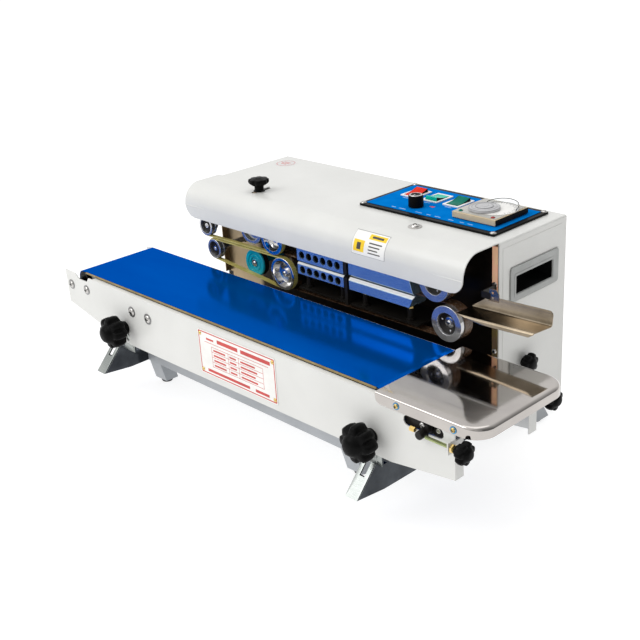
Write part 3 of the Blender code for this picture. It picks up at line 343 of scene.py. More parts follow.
def bevel_cage(cage, width, segments=2, angle=30):
    """Round every edge that bends by more than the angle."""
    sharp = [edge for edge in cage.edges
        if len(edge.link_faces) == 2 and edge.calc_face_angle() > radians(angle)]
    bmesh.ops.bevel(cage, geom=sharp, offset=width * MM, segments=segments, profile=0.5,
        affect="EDGES", clamp_overlap=True)


def from_cage(name, cage, at=(0, 0, 0), bevel=0, segments=2, angle=38):
    if bevel:
        bevel_cage(cage, bevel, segments)
    mesh = bpy.data.meshes.new(name)
    cage.to_mesh(mesh)
    cage.free()
    return finish_shading(link(name, mesh, at), angle)


def grid_cage(rows):
    """Open cage over rows of (x, y, z) points that have one length."""
    cage = bmesh.new()
    lines = [[cage.verts.new(Vector(point) * MM) for point in row] for row in rows]
    for line, after in zip(lines, lines[1:]):
        for step in range(len(line) - 1):
            cage.faces.new((line[step], after[step], after[step + 1], line[step + 1]))
    return cage


def from_sheet(name, cage, thickness, offset=-1, bevel=0, segments=1):
    """Thicken an open cage into sheet material."""
    mesh = bpy.data.meshes.new(name)
    cage.to_mesh(mesh)
    cage.free()
    helper = link(name + "_helper", mesh)
    sheet = helper.modifiers.new("sheet", "SOLIDIFY")
    sheet.thickness = thickness * MM
    sheet.offset = offset
    return from_object(name, helper, bevel, segments, False)


def box(name, low, high, bevel=0.4):
    low, high = ([pick(pair) for pair in zip(low, high)] for pick in (min, max))
    low, high = Vector(low), Vector(high)
    cage = bmesh.new()
    bmesh.ops.create_cube(cage, size=1)
    bmesh.ops.scale(cage, vec=(high - low) * MM, verts=cage.verts)
    return from_cage(name, cage, (low + high) / 2, bevel)


def spun(profile, steps, lobes=0, depth=0):
    """Closed cage turned about Z from (radius, height[, lobe weight]) points, top first."""
    cage = bmesh.new()
    rings = []
    for point in profile:
        radius, height = point[:2]
        weight = point[2] if len(point) > 2 else 0
        if radius == 0:
            rings.append([cage.verts.new((0, 0, height * MM))])
            continue
        ring = []
        for step in range(steps):
            angle = 2 * pi * step / steps
            hollow = (0.5 - 0.5 * cos(lobes * angle)) ** 2 if lobes else 0
            reach = radius - depth * weight * hollow
            ring.append(cage.verts.new((reach * cos(angle) * MM, reach * sin(angle) * MM,
                height * MM)))
        rings.append(ring)
    for upper, lower in zip(rings, rings[1:]):
        for step in range(steps):
            after = (step + 1) % steps
            corners = []
            corners += [upper[0]] if len(upper) == 1 else [upper[after], upper[step]]
            corners += [lower[0]] if len(lower) == 1 else [lower[step], lower[after]]
            cage.faces.new(corners)
    if len(rings[0]) > 1:
        for step in range(steps):
            after = (step + 1) % steps
            cage.faces.new([rings[-1][after], rings[-1][step], rings[0][step], rings[0][after]])
    bmesh.ops.recalc_face_normals(cage, faces=cage.faces)
    return cage


def turned(name, profile, at, axis, steps=64, bevel=0.25, lobes=0, depth=0):
    cage = spun(profile, steps, lobes, depth)
    if bevel:
        bevel_cage(cage, bevel, 2, 35)
    return aim(from_cage(name, cage, at, angle=32), axis)


def arc(centre, radius, start, end, steps):
    points = []
    for step in range(steps + 1):
        angle = radians(start + (end - start) * step / steps)
        points.append((centre[0] + radius * cos(angle), centre[1] + radius * sin(angle)))
    return points


def circle(centre, radius, steps=40):
    return arc(centre, radius, 0, 360, steps)[:-1]


def rounded(low, high, radius, steps=6):
    """Rectangle with round corners."""
    corners = ((high[0] - radius, low[1] + radius, -90), (high[0] - radius, high[1] - radius, 0),
        (low[0] + radius, high[1] - radius, 90), (low[0] + radius, low[1] + radius, 180))
    points = []
    for x, y, start in corners:
        points += arc((x, y), radius, start, start + 90, steps)
    return points


TURNS = {"X": (pi / 2, 0, pi / 2), "Y": (pi / 2, 0, 0), "Z": (0, 0, 0)}


def flat(name, facing, low, high, loops, bevel=0.3, segments=2):
    """Plate cut from outlines across the facing axis, between two places on it."""
    low, high = sorted((low, high))
    curve = bpy.data.curves.new(name, "CURVE")
    curve.dimensions = "2D"
    curve.fill_mode = "BOTH"
    curve.extrude = (high - low) / 2 * MM
    for loop in loops:
        spline = curve.splines.new("POLY")
        spline.points.add(len(loop) - 1)
        for point, (across, up) in zip(spline.points, loop):
            point.co = (across * MM, up * MM, 0, 1)
        spline.use_cyclic_u = True
    middle = (low + high) / 2
    spot = {"X": (middle, 0, 0), "Y": (0, middle, 0), "Z": (0, 0, middle)}[facing]
    helper = link(name + "_outline", curve, spot)
    helper.rotation_euler = TURNS[facing]
    return from_object(name, helper, bevel, segments)


def clean(cage, dissolve=True):
    """Weld the vertices and, unless told not to, merge the faces that lie in one plane."""
    bmesh.ops.remove_doubles(cage, verts=cage.verts, dist=WELD)
    if dissolve:
        bmesh.ops.dissolve_limit(cage, angle_limit=radians(0.5), verts=cage.verts, edges=cage.edges)


def from_object(name, helper, bevel, segments=2, dissolve=True):
    """Bake a helper object into a clean bevelled mesh in the row frame, and remove it."""
    bpy.context.view_layer.update()
    graph = bpy.context.evaluated_depsgraph_get()
    mesh = bpy.data.meshes.new_from_object(helper.evaluated_get(graph))
    cage = bmesh.new()
    cage.from_mesh(mesh)
    cage.transform(helper.matrix_world)
    clean(cage, dissolve)
    bpy.data.objects.remove(helper, do_unlink=True)
    return from_cage(name, cage, (0, 0, 0), bevel, segments)


def cut(target, *cutters):
    """Boolean pieces out of a target and bake the result."""
    for cutter in cutters:
        step = target.modifiers.new("cut", "BOOLEAN")
        step.operation = "DIFFERENCE"
        step.solver = "EXACT"
        step.object = cutter
        bpy.context.view_layer.update()
        graph = bpy.context.evaluated_depsgraph_get()
        mesh = bpy.data.meshes.new_from_object(target.evaluated_get(graph))
        target.modifiers.clear()
        target.data = mesh
        bpy.data.objects.remove(cutter, do_unlink=True)
    return finish_shading(target)


def taut_loop(wheels, offset, steps=36):
    """Outline of a belt pulled round circles (x, z, radius) listed counter-clockwise."""
    count = len(wheels)
    angles = []
    for index in range(count):
        x1, z1, r1 = wheels[index]
        x2, z2, r2 = wheels[(index + 1) % count]
        heading = atan2(z2 - z1, x2 - x1)
        spread = acos((r1 - r2) / hypot(x2 - x1, z2 - z1))
        angles.append(degrees(heading - spread))
    points = []
    for index in range(count):
        x, z, radius = wheels[index]
        start = angles[index - 1]
        sweep = (angles[index] - start) % 360
        parts = max(3, round(steps * sweep / 180))
        points += arc((x, z), radius + offset, start, start + sweep, parts)
    return points


def spaced(points, pitch):
    """Walk a closed outline at an even pitch."""
    closed = points + [points[0]]
    lengths = [dist(a, b) for a, b in zip(closed, closed[1:])]
    total = sum(lengths)
    count = 2 * round(total / pitch / 2)
    walked, index, start = [], 0, 0
    for step in range(count):
        target = total * step / count
        while start + lengths[index] < target:
            start += lengths[index]
            index += 1
        share = (target - start) / lengths[index]
        a, b = closed[index], closed[index + 1]
        walked.append((a[0] + (b[0] - a[0]) * share, a[1] + (b[1] - a[1]) * share))
    return walked


def toothed(wheels, offset, pitch, depth):
    """Belt outline whose outer side has shallow cross ribs."""
    line = spaced(taut_loop(wheels, offset), pitch)
    points = []
    for index, (x, z) in enumerate(line):
        before, after = line[index - 1], line[(index + 1) % len(line)]
        dx, dz = after[0] - before[0], after[1] - before[1]
        size = hypot(dx, dz)
        dip = depth if index % 2 else 0
        points.append((x - dip * dz / size, z + dip * dx / size))
    return points


def piece(made, material, *nodes, body="machine", slot=None):
    """Give a piece its material, CAD body and the CAD nodes it stands for; the record slot argument is
    not used.
    """
    made.data.materials.clear()
    made.data.materials.append(material)
    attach(made, body)
    if nodes:
        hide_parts(*nodes)
    return made


def refine(node, material, bevel=0.4, body="machine"):
    """Stand a cleaned, bevelled copy of a CAD node in its place."""
    cage = bmesh.new()
    cage.from_mesh(NODES[node].data)
    clean(cage)
    made = from_cage(node + "_finished", cage, (0, 0, 0), bevel)
    return piece(made, material, node, body=body)


def screw(name, at, axis, radius, material, height=None, body="machine"):
    """Pan head screw with a cross recess."""
    tall = height or radius * 0.55
    profile = [(0, tall), (radius * 0.45, tall * 0.93), (radius * 0.8, tall * 0.65),
        (radius * 0.98, tall * 0.2), (radius, 0), (0, 0)]
    head = aim(from_cage(name, spun(profile, 32), at, angle=50), axis)
    arms = []
    for span in ((radius * 0.62, radius * 0.14), (radius * 0.14, radius * 0.62)):
        arm = box(name + "_recess", (-span[0], -span[1], tall * 0.45), (span[0], span[1], tall * 2),
            0)
        arm.modifiers.clear()
        turn = Vector(UP).rotation_difference(Vector(axis))
        arm.location = Vector(at) * MM + turn @ arm.location
        arm.rotation_mode = "QUATERNION"
        arm.rotation_quaternion = turn
        arms.append(arm)
    head.modifiers.clear()
    cut(head, *arms)
    # dark disc painted as shade at the bottom of the cross recess
    if radius > 3:
        floor = [(0, tall * 0.52), (radius * 0.64, tall * 0.52), (radius * 0.64, tall * 0.3),
            (0, tall * 0.3)]
        piece(turned(name + "_floor", floor, at, axis, 24, 0), RECESS_SHADE, body=body,
            slot=SLOTS[material.name])
    return piece(head, material, body=body)


def washer(name, at, axis, outer, inner, thick, material, body="machine"):
    profile = [(inner, thick), (outer, thick), (outer, 0), (inner, 0)]
    return piece(turned(name, profile, at, axis, 40, 0.15), material, body=body)


def hex_nut(name, at, axis, radius, tall, material, body="machine"):
    profile = [(0, tall), (radius * 0.86, tall), (radius, tall * 0.85), (radius, 0), (0, 0)]
    return piece(aim(from_cage(name, spun(profile, 6), at), axis), material, body=body)


# ---------------------------------------------------------------- cabinet

CABINET = (-293, 268, 62, 209, 22, 293)      # left, right, front, back, bottom, top
SHEET = 1.5
FOLD = 3


def folded_cabinet():
    """Ends and top folded from one sheet, with round folds, and a separate back."""
    left, right, front, back, bottom, top = CABINET
    outer = [(left, bottom)] + arc((left + FOLD, top - FOLD), FOLD, 180, 90, 6)
    outer += arc((right - FOLD, top - FOLD), FOLD, 90, 0, 6) + [(right, bottom)]
    inner = [(right - SHEET, bottom)]
    inner += arc((right - FOLD, top - FOLD), FOLD - SHEET, 0, 90, 6)
    inner += arc((left + FOLD, top - FOLD), FOLD - SHEET, 90, 180, 6) + [(left + SHEET, bottom)]
    shell = flat("cabinet_wrap", "Y", front, back - SHEET - 0.1, [outer + inner], 0)
    holes = []
    for x in (left, right):
        holes.append(box("grip_hole", (x - 6, 93, 212), (x + 6, 179, 244), 0))
    holes.append(box("control_hole", (15, 84, 285), (239, 190, 300), 0))
    piece(cut(shell, *holes), PAINT, "cabinet_shell")
    face = rounded((left, bottom), (right, top), 2.5)
    slots = []
    for row in range(4):
        height = 90 + 14 * row
        slots.append(rounded((-193, height - 3), (-87, height + 3), 2.9))
    slots.append(rounded((-250, 70), (-222, 90), 1))
    piece(flat("cabinet_back", "Y", back - SHEET, back, [face] + slots, 0.2), PAINT)
    for x in (-284, 0, 259):
        for z in (32, 283):
            screw("back_screw", (x, back, z), BACK, 3.2, PLAIN_STEEL, 1.6)
    for x, outward in ((left, -1), (right, 1)):
        loops = [rounded((front + 7.5, bottom + 8), (back - 7.5, top - 9), 2),
            rounded((82.5, 203.5), (191.5, 254.5), 5)]
        piece(flat("end_border", "X", x, x + outward * 0.45, loops, 0.4), PAINT)


def end_handle(node, wall, outward):
    """Recessed grip: a rounded grey frame round a dark cup."""
    opening = rounded((95.5, 214.5), (176.5, 239.5), 1.5)
    piece(flat(node + "_frame", "X", wall + outward * 0.3, wall + outward * 2.4,
        [rounded((84, 205), (190, 253), 4.5), opening], 0.7), GREY_PLASTIC, node)
    lip = flat(node + "_lip", "X", wall + outward * 2.3, wall + outward * 2.9,
        [rounded((91.5, 210.5), (180.5, 243.5), 3), rounded((94.5, 213.5), (177.5, 240.5), 1.5)],
        0.25)
    piece(lip, GREY_PLASTIC)
    cup = box(node + "_cup", (wall - outward * 28, 94, 213), (wall + outward * 0.2, 178, 241), 0)
    hollow = box("cup_hollow", (wall - outward * 26, 96, 215), (wall + outward * 4, 176, 239), 0)
    piece(cut(cup, hollow), BLACK_PLASTIC)


PRESS_SCREW = (-165, 37)
HOOD = {"top": 295, "face": -11, "bend": 30.5, "lip": 244.4, "corner": 21, "seam": 61.5}


def make_hood():
    """Bent sheet hood with round lower corners."""
    top, face, bend, lip = HOOD["top"], HOOD["face"], HOOD["bend"], HOOD["lip"]
    level = HOOD["seam"] - (face + bend)
    curve = bend * pi / 2
    length = level + curve + top - bend - lip
    stations = [0, 26] + [level + curve * step / 28 for step in range(29)]
    stations += [length - HOOD["corner"] * cos(radians(5 * step)) for step in range(1, 19)]
    columns = 12
    rows = []
    for run in stations:
        if run <= level:
            across, up = HOOD["seam"] - run, top
        elif run <= level + curve:
            turn = (run - level) / bend
            across = face + bend - bend * sin(turn)
            up = top - bend + bend * cos(turn)
        else:
            across, up = face, top - bend - (run - level - curve)
        near_end = max(0, run - (length - HOOD["corner"]))
        inset = HOOD["corner"] - sqrt(max(0, HOOD["corner"] ** 2 - near_end ** 2))
        left, right = CABINET[0] + inset, CABINET[1] - inset
        rows.append([(left + (right - left) * step / columns, across, up)
            for step in range(columns + 1)])
    hood = from_sheet("hood_sheet", grid_cage(rows), SHEET, bevel=0.3, segments=2)
    notch = flat("stem_slot", "Z", 285, 300, [[(-169.5, 70)] + arc((-165, 27), 4.5, 180, 360, 10)
        + [(-160.5, 70)]], 0)
    piece(cut(hood, notch), PAINT, "hood")
    washer("hood_washer", (141, 46, top), UP, 9.6, 3, 0.9, PLAIN_STEEL)
    screw("hood_screw", (141, 46, top + 0.7), UP, 6, PLAIN_STEEL, 3.4)


def make_hood_label():
    """Plain two-field label in place of the printed one."""
    low, high = (76.5, 261.5), (137, 291)
    bend_low = HOOD["top"] - HOOD["bend"]

    def wrapped(name, low, high, lift, material):
        rows = []
        for step in range(9):
            z = high[1] - (high[1] - low[1]) * step / 8
            across = HOOD["face"]
            if z > bend_low:
                across = HOOD["face"] + HOOD["bend"] - sqrt(HOOD["bend"] ** 2 - (z - bend_low) ** 2)
            normal = Vector((0, across - HOOD["face"] - HOOD["bend"], max(0, z - bend_low)))
            normal.normalize()
            rows.append([Vector((x, across, z)) + normal * lift for x in (low[0], high[0])])
        piece(from_sheet(name, grid_cage(rows), 0.18), material, slot="white_paint")

    wrapped("hood_label_rim", low, high, 0.25, PRINT_GREY)
    wrapped("hood_label", (low[0] + 0.5, low[1] + 0.5), (high[0] - 0.5, high[1] - 0.5), 0.32, LABEL)
    wrapped("hood_label_field", (80, 266), (99, 281), 0.40, YELLOW)
    wrapped("hood_label_core", (86, 269), (93, 278), 0.46, PRINT_DARK)
    wrapped("hood_label_band", (104, 284), (134.5, 289.2), 0.40, YELLOW)
    wrapped("hood_label_band_core", (109, 285.6), (129, 287.8), 0.46, PRINT_DARK)
    for row, width in enumerate((22, 17, 20, 23)):
        z = 266.5 + 4.2 * row
        wrapped("hood_label_bar", (107, z), (107 + width, z + 1.5), 0.40, PRINT_DARK)


def make_stile():
    """Screws and coloured strip of the stile, and the plain round mark on the top."""
    screw("stile_screw", (261, 62.1, 236), FRONT, 4.2, PLAIN_STEEL, 2)
    screw("stile_screw_low", (261, 62.1, 142), FRONT, 3.6, PLAIN_STEEL, 1.8)
    # the strip's faint glow is painted light
    piece(flat("stile_strip", "Y", 61.6, 62.05, [rounded((257.2, 176), (265.6, 288), 0.8)], 0.1),
        STILE_PINK_GLOW)
    x, y = -258, 175.5
    piece(flat("round_mark_disc", "Z", 293.01, 293.08, [circle((x, y), 18.5, 64)], 0), MARK_GREY)
    ring = [circle((x, y), 15.5, 64), circle((x, y), 14.7, 64)]
    piece(flat("round_mark_ring", "Z", 293.08, 293.14, ring, 0), PLATE_RED)
    for across, up, width in ((0, 5, 14), (-1, 0, 19), (0, -5, 12)):
        bar = [rounded((x + across - width / 2, y + up - 0.9),
            (x + across + width / 2, y + up + 0.9), 0.7)]
        piece(flat("round_mark_bar", "Z", 293.08, 293.16, bar, 0), PLATE_RED)


def make_arm_nose(side):
    """Plated arm in chrome darkened as painted reflection, with a bright skin over the faces of its
    sloping front as painted highlight.
    """
    node = "support_arm_" + side
    refine(node, CHROME_PAINTED_DARK, 0.5)
    cage = bmesh.new()
    cage.from_mesh(NODES[node].data)
    cage.transform(NODES[node].matrix_world)
    doomed = [face for face in cage.faces if face.normal.y > -0.25]
    bmesh.ops.delete(cage, geom=doomed, context="FACES")
    piece(from_sheet(node + "_painted_highlight", cage, 0.3, 1), CHROME_PAINTED_HIGHLIGHT)


folded_cabinet()
end_handle("handle_right", CABINET[1], 1)
end_handle("handle_left", CABINET[0], -1)
make_hood()
make_hood_label()
make_stile()
refine("mounting_plate", ZINC, 0.25)
refine("bearing_plate", PLAIN_STEEL, 0.3)
refine("base_frame", GREY_PAINT, 1)
refine("drive_motor", BLACK_STEEL, 0.8)
refine("fan_housing", BLACK_PLASTIC, 0.5)
refine("fan_impeller", BLACK_PLASTIC, 0.5, body="fan_impeller")
refine("power_inlet", BLACK_PLASTIC, 0.5)
make_arm_nose("left")
make_arm_nose("right")
for corner in ("front_left", "front_right", "rear_left", "rear_right"):
    low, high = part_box("foot_" + corner)
    middle = (low + high) / 2 / MM
    profile = [(0, 5.7), (8.2, 5.7), (9, 5), (9, 1.8), (7.8, 0), (3, 0), (2.5, 0.8), (0, 0.8)]
    piece(turned("rubber_foot_" + corner, profile, (middle.x, middle.y, 0), UP, 40), RUBBER, "foot_"
        + corner)


# ---------------------------------------------------------------- sealing head

EXIT_FACE = 6
ENTRY_FACE = 1
PRESS_FACE = 9.8
EXIT_LOW = (226.2, 190.65)
EXIT_HIGH = (205.4, 241.35)
ENTRY_LOW = (-84.5, 189.35)
ENTRY_HIGH = (-104, 238.65)
ROLLER_LOW = (-245.3, 195.2)
ROLLER_HIGH = (-262, 229.8)
PRESS = (-161.5, 242)
SILICONE_AT = (-158.5, 187.8)


def hub_screw(name, centre, face, radius, body):
    """Screw head and washer at a wheel's middle."""
    at = (centre[0], face, centre[1])
    washer(name + "_washer", at, FRONT, radius * 1.75, radius * 0.5, 1, CHROME_TURNED, body=body)
    screw(name + "_screw", (at[0], at[1] - 1, at[2]), FRONT, radius, CHROME_TURNED, radius * 0.6,
        body)


def make_exit_wheels():
    for level, (x, z) in (("lower", EXIT_LOW), ("upper", EXIT_HIGH)):
        node = "exit_wheel_" + level
        ring = [(15.5, 0), (24.3, 0), (24.9, -0.6), (24.9, -3), (24, -3.2), (24, -24.8), (9, -24.8),
            (9, -33), (5, -33), (5, -86), (0, -86)]
        inside = [(0, -7.5), (7.5, -7.5), (8.5, -10), (14, -10), (14.8, -1)]
        piece(turned(node + "_rim", inside + ring, (x, EXIT_FACE, z), FRONT, 80), STEEL, node,
            body=node)
        # dark ring painted as shade in the wheel's recess
        cup = [(7.8, -6.6), (14.4, -3.4), (14.1, -9.8), (7.8, -9.8)]
        piece(turned(node + "_shade", cup, (x, EXIT_FACE, z), FRONT, 64, 0), BLACK_STEEL, body=node)
        hub_screw(node, (x, z), EXIT_FACE + 7.5, 3.9, node)
        for index in range(3):
            angle = radians(-75 + 120 * index)
            at = (x + 11 * cos(angle), EXIT_FACE + 5.8, z + 11 * sin(angle))
            screw(node + "_pin", at, FRONT, 1.7, CHROME_TURNED, 1.6, body=node)


def make_entry_wheels():
    tail = [(9, -30), (9, -38), (5, -38), (5, -91), (0, -91)]
    low = [(0, -6), (6.4, -6), (6.8, -11), (9.5, -11.5), (16.5, -9.5), (20.2, -3), (20.8, 0),
        (24.5, 0), (25, -0.5), (25, -1.2), (22.8, -1.4), (22.8, -8.4), (25.3, -8.5), (25.3, -30)]
    high = [(0, -8), (6, -8), (7, -10), (12, -10), (15.5, -7), (17.6, 0), (22.6, 0), (23.2, -0.5),
        (23.2, -1.2), (20.8, -1.4), (20.8, -8.4), (21.3, -8.5), (21.3, -30)]
    for level, (x, z), profile in (("lower", ENTRY_LOW, low), ("upper", ENTRY_HIGH, high)):
        node = "entry_wheel_" + level
        body = turned(node + "_body", profile + tail, (x, ENTRY_FACE, z), FRONT, 80)
        piece(body, MIRROR_TURNED, node, body=node)
        hub_screw("entry_" + level, (x, z), ENTRY_FACE - profile[0][1], 3.4, node)


def make_guide_rollers():
    for level, (x, z) in (("lower", ROLLER_LOW), ("upper", ROLLER_HIGH)):
        node = "guide_roller_" + level
        profile = [(0, -5.5), (3.6, -5.5), (4, -8), (11.4, -8), (12.2, 0), (15.5, 0), (16, -0.5),
            (16, -1.2), (14.5, -1.4), (14.5, -8.4), (16, -8.5), (16, -10.4), (9, -10.4), (9, -18.5),
            (5, -18.5), (5, -91), (0, -91)]
        piece(turned(node + "_body", profile, (x, ENTRY_FACE, z), FRONT, 64), STEEL, node,
            body=node)
        # dark ring painted as shade in the roller's recess
        shade = [(4.2, -3.4), (11.6, -3.4), (11.2, -7.8), (4.2, -7.8)]
        piece(turned(node + "_shade", shade, (x, ENTRY_FACE, z), FRONT, 48, 0), BLACK_STEEL,
            body=node)
        hub_screw(node, (x, z), ENTRY_FACE + 3.4, 2.2, node)


def make_press_wheels():
    x, z = SILICONE_AT
    y = PRESS_FACE
    profile = [(0, -1), (6, -1), (6.5, -2.2), (8.5, -2.2), (9, -0.6), (12.5, -0.4), (13, -1.4),
        (14.2, -1.4), (14.8, -0.2), (20.1, 0), (21.5, -1.4), (21.5, -3.6), (5.2, -3.6),
        (5.2, -82.2), (0, -82.2)]
    piece(turned("silicone_tyre", profile, (x, y, z), FRONT, 72), SILICONE, "silicone_wheel",
        body="silicone_wheel")
    drum = [(5.4, -3.7), (21.2, -3.7), (21.2, -11.4), (20.6, -12), (5.4, -12)]
    piece(turned("silicone_drum", drum, (x, y, z), FRONT, 64), RUBBER, body="silicone_wheel")
    washer("silicone_washer", (x, y + 1, z), FRONT, 5.6, 2, 0.9, CHROME_TURNED,
        body="silicone_wheel")
    screw("silicone_screw", (x, y + 0.1, z), FRONT, 3.3, CHROME_TURNED, 1.6, body="silicone_wheel")
    x, z = PRESS
    profile = [(0, -3), (6.5, -3), (7, -5), (16, -5), (18.5, 0), (23.8, 0), (24.4, -0.6),
        (24.4, -17.4), (23.8, -18), (5, -18), (5, -37.2), (0, -37.2)]
    piece(turned("press_wheel_body", profile, (x, y, z), FRONT, 80), STEEL, "press_wheel",
        body="press_wheel")
    refine("press_arm", BLACK_STEEL, 0.6, body="press_arm")


def make_bands():
    """Sealing bands round the entry and exit wheels, guide belts round the rollers and entry wheels."""
    for level, entry, exit_wheel, roller, drum, groove in (("lower", ENTRY_LOW, EXIT_LOW,
            ROLLER_LOW, 25.6, 23.1), ("upper", ENTRY_HIGH, EXIT_HIGH, ROLLER_HIGH, 21.6, 21.1)):
        wheels = [(*entry, drum), (*exit_wheel, 24.3)]
        loops = [taut_loop(wheels, 0.9, 48), taut_loop(wheels, 0.05, 48)]
        band = flat("coated_band_" + level, "Y", 14.5, 29.5, loops, 0)
        piece(band, BAND, "sealing_band_" + level)
        wheels = [(*roller, 14.8), (*entry, groove)]
        loops = [toothed(wheels, 2.4, 1.7, 0.9), taut_loop(wheels, 0.05, 40)]
        belt = flat("guide_cord_" + level, "Y", 2.6, 9.2, loops, 0)
        piece(belt, OLIVE, "guide_belt_" + level)


def prism(name, profile, left, right, bevel=0.5):
    """Bar with a (y, z) profile whose ends lie at x = left(z) and right(z)."""
    cage = bmesh.new()
    ends = [[cage.verts.new(Vector((side(z), y, z)) * MM) for y, z in profile]
        for side in (left, right)]
    cage.faces.new(ends[0])
    cage.faces.new(list(reversed(ends[1])))
    for index in range(len(profile)):
        after = (index + 1) % len(profile)
        cage.faces.new((ends[0][after], ends[0][index], ends[1][index], ends[1][after]))
    bmesh.ops.recalc_face_normals(cage, faces=cage.faces)
    return from_cage(name, cage, (0, 0, 0), bevel)


def make_blocks():
    low = [(5, 197), (5, 210.4), (8.6, 214.6), (38, 214.6), (38, 197)]
    high = [(5, 219.2), (5, 236.7), (38, 236.7), (38, 217.4), (6.8, 217.4)]
    piece(prism("heater_lower", low, lambda z: 52, lambda z: 163.5 + (z - 197) * 0.48), ALUMINIUM,
        "heater_block_lower")
    piece(prism("heater_upper", high, lambda z: 52, lambda z: 171.5 - (z - 217.4) * 0.34),
        ALUMINIUM, "heater_block_upper")
    # white strip on the chamfer: painted highlight on the aluminium edge
    piece(prism("heater_edge_highlight", [(4.9, 211), (8.2, 214.65), (8.6, 214.3), (5.3, 210.7)],
        lambda z: 52, lambda z: 163.5 + (z - 197) * 0.48, 0), PALE, slot="aluminium")
    for level, bottom, top in (("lower", 197, 214.6), ("upper", 217.4, 236.7)):
        roof = top - 3 if level == "lower" else top
        holes = [circle((-43 + 14.6 * index, (bottom + roof) / 2), 5.7, 32) for index in range(6)]
        outline = rounded((-53, bottom), (41.5, roof), 0.8, 2)
        piece(flat("cooler_" + level, "Y", 5, 38, [outline] + holes, 0.35), ALUMINIUM,
            "cooler_block_" + level)
        if level == "lower":
            piece(prism("cooler_cap", [(5, roof), (5, roof + 0.3), (7.6, top), (38, top),
                (38, roof)], lambda z: -53, lambda z: 41.5, 0.2), ALUMINIUM)
            # white strip on the chamfer: painted highlight on the aluminium edge
            piece(prism("cooler_edge_highlight", [(4.9, roof + 0.7), (7.2, top + 0.05), (7.6, top - 0.3),
                (5.3, roof + 0.3)], lambda z: -53, lambda z: 41.5, 0), PALE, slot="aluminium")
        # dark sheet painted as shade behind the cooling holes
        piece(flat("cooler_hole_shade_" + level, "Y", 7.6, 37.5, [rounded((-51.5, bottom + 1.2),
            (40, roof - 0.3), 0.5, 2)], 0), RECESS_SHADE)
    refine("block_carrier", BLACK_STEEL, 0.3)
    for x in (-42, 29, 73, 156):
        hex_nut("post_nut", (x, 16, 192.6), UP, 5.2, 3.4, BRASS)
        hex_nut("post_foot", (x, 16, 175.2), UP, 6, 3, BLACK_STEEL)
        turns = []
        for step in range(161):
            angle = 2 * pi * 10 * step / 160
            turns.append((x + 4.2 * cos(angle), 24 + 4.2 * sin(angle), 240.5 + 16 * step / 160))
        tube("press_spring", turns, 0.55, PLAIN_STEEL)


def tube(name, points, radius, material):
    """Round wire along a smooth run of points."""
    curve = bpy.data.curves.new(name, "CURVE")
    curve.dimensions = "3D"
    curve.bevel_depth = radius * MM
    curve.bevel_resolution = 3
    curve.use_fill_caps = True
    spline = curve.splines.new("POLY")
    spline.points.add(len(points) - 1)
    for target, point in zip(spline.points, points):
        target.co = (*(Vector(point) * MM), 1)
    helper = link(name + "_path", curve)
    return piece(from_object(name, helper, 0, 1, False), material)


def make_trough():
    """Outlet guide folded from one sheet."""
    rows = [(288, 360, -1.8, 207.6), (262, 366, -1.2, 211.2), (247, 367, 0.6, 213),
        (249, 371, 28.5, 213), (249.6, 371, 30.4, 213.7), (250.6, 371, 31.2, 215.6),
        (268, 371, 32.6, 227), (270, 370.2, 32.8, 229.4), (272.5, 368.4, 33, 231.2),
        (276, 366, 33.1, 232)]
    columns, slope = 6, 0.04
    grid = []
    for left, right, y, z in reversed(rows):
        line = [left + (right - left) * step / columns for step in range(columns + 1)]
        grid.append([(x, y, z + (x - 247) * slope) for x in line])
    piece(from_sheet("trough_sheet", grid_cage(grid), 1.2, 0, 0.2), TROUGH_STEEL, "outlet_trough")
    ear = flat("trough_ear", "Y", 31.9, 33.1, [[(274, 226), (291, 226), (291, 238), (286, 244),
        (276, 244)], circle((281, 239), 1.6, 16), circle((281, 232), 1.6, 16)], 0.1)
    piece(ear, TROUGH_STEEL)
    piece(box("trough_strap", (262.5, 32.5, 229), (264.5, 61.9, 238), 0.3), BLACK_STEEL,
        slot="steel")
    piece(box("trough_strap_foot", (263, 31.6, 229), (278, 32.8, 238), 0.3), BLACK_STEEL,
        slot="steel")


make_exit_wheels()
make_entry_wheels()
make_guide_rollers()
make_press_wheels()
make_bands()
make_blocks()
make_trough()


# ---------------------------------------------------------------- controls

PANEL_TOP = 297.2
ROCKER_X = (47.5, 87.4, 126)
ROCKER_PIVOT = (155, 296)            # y and z
SPEED_KNOB = (87.2, 109.3, 288)
DIAL = (191, 130, 303.3)
SCALE = (203, 142.5)                   # middle of the printed scale and its clear cover
CASE_FACE = 306.9


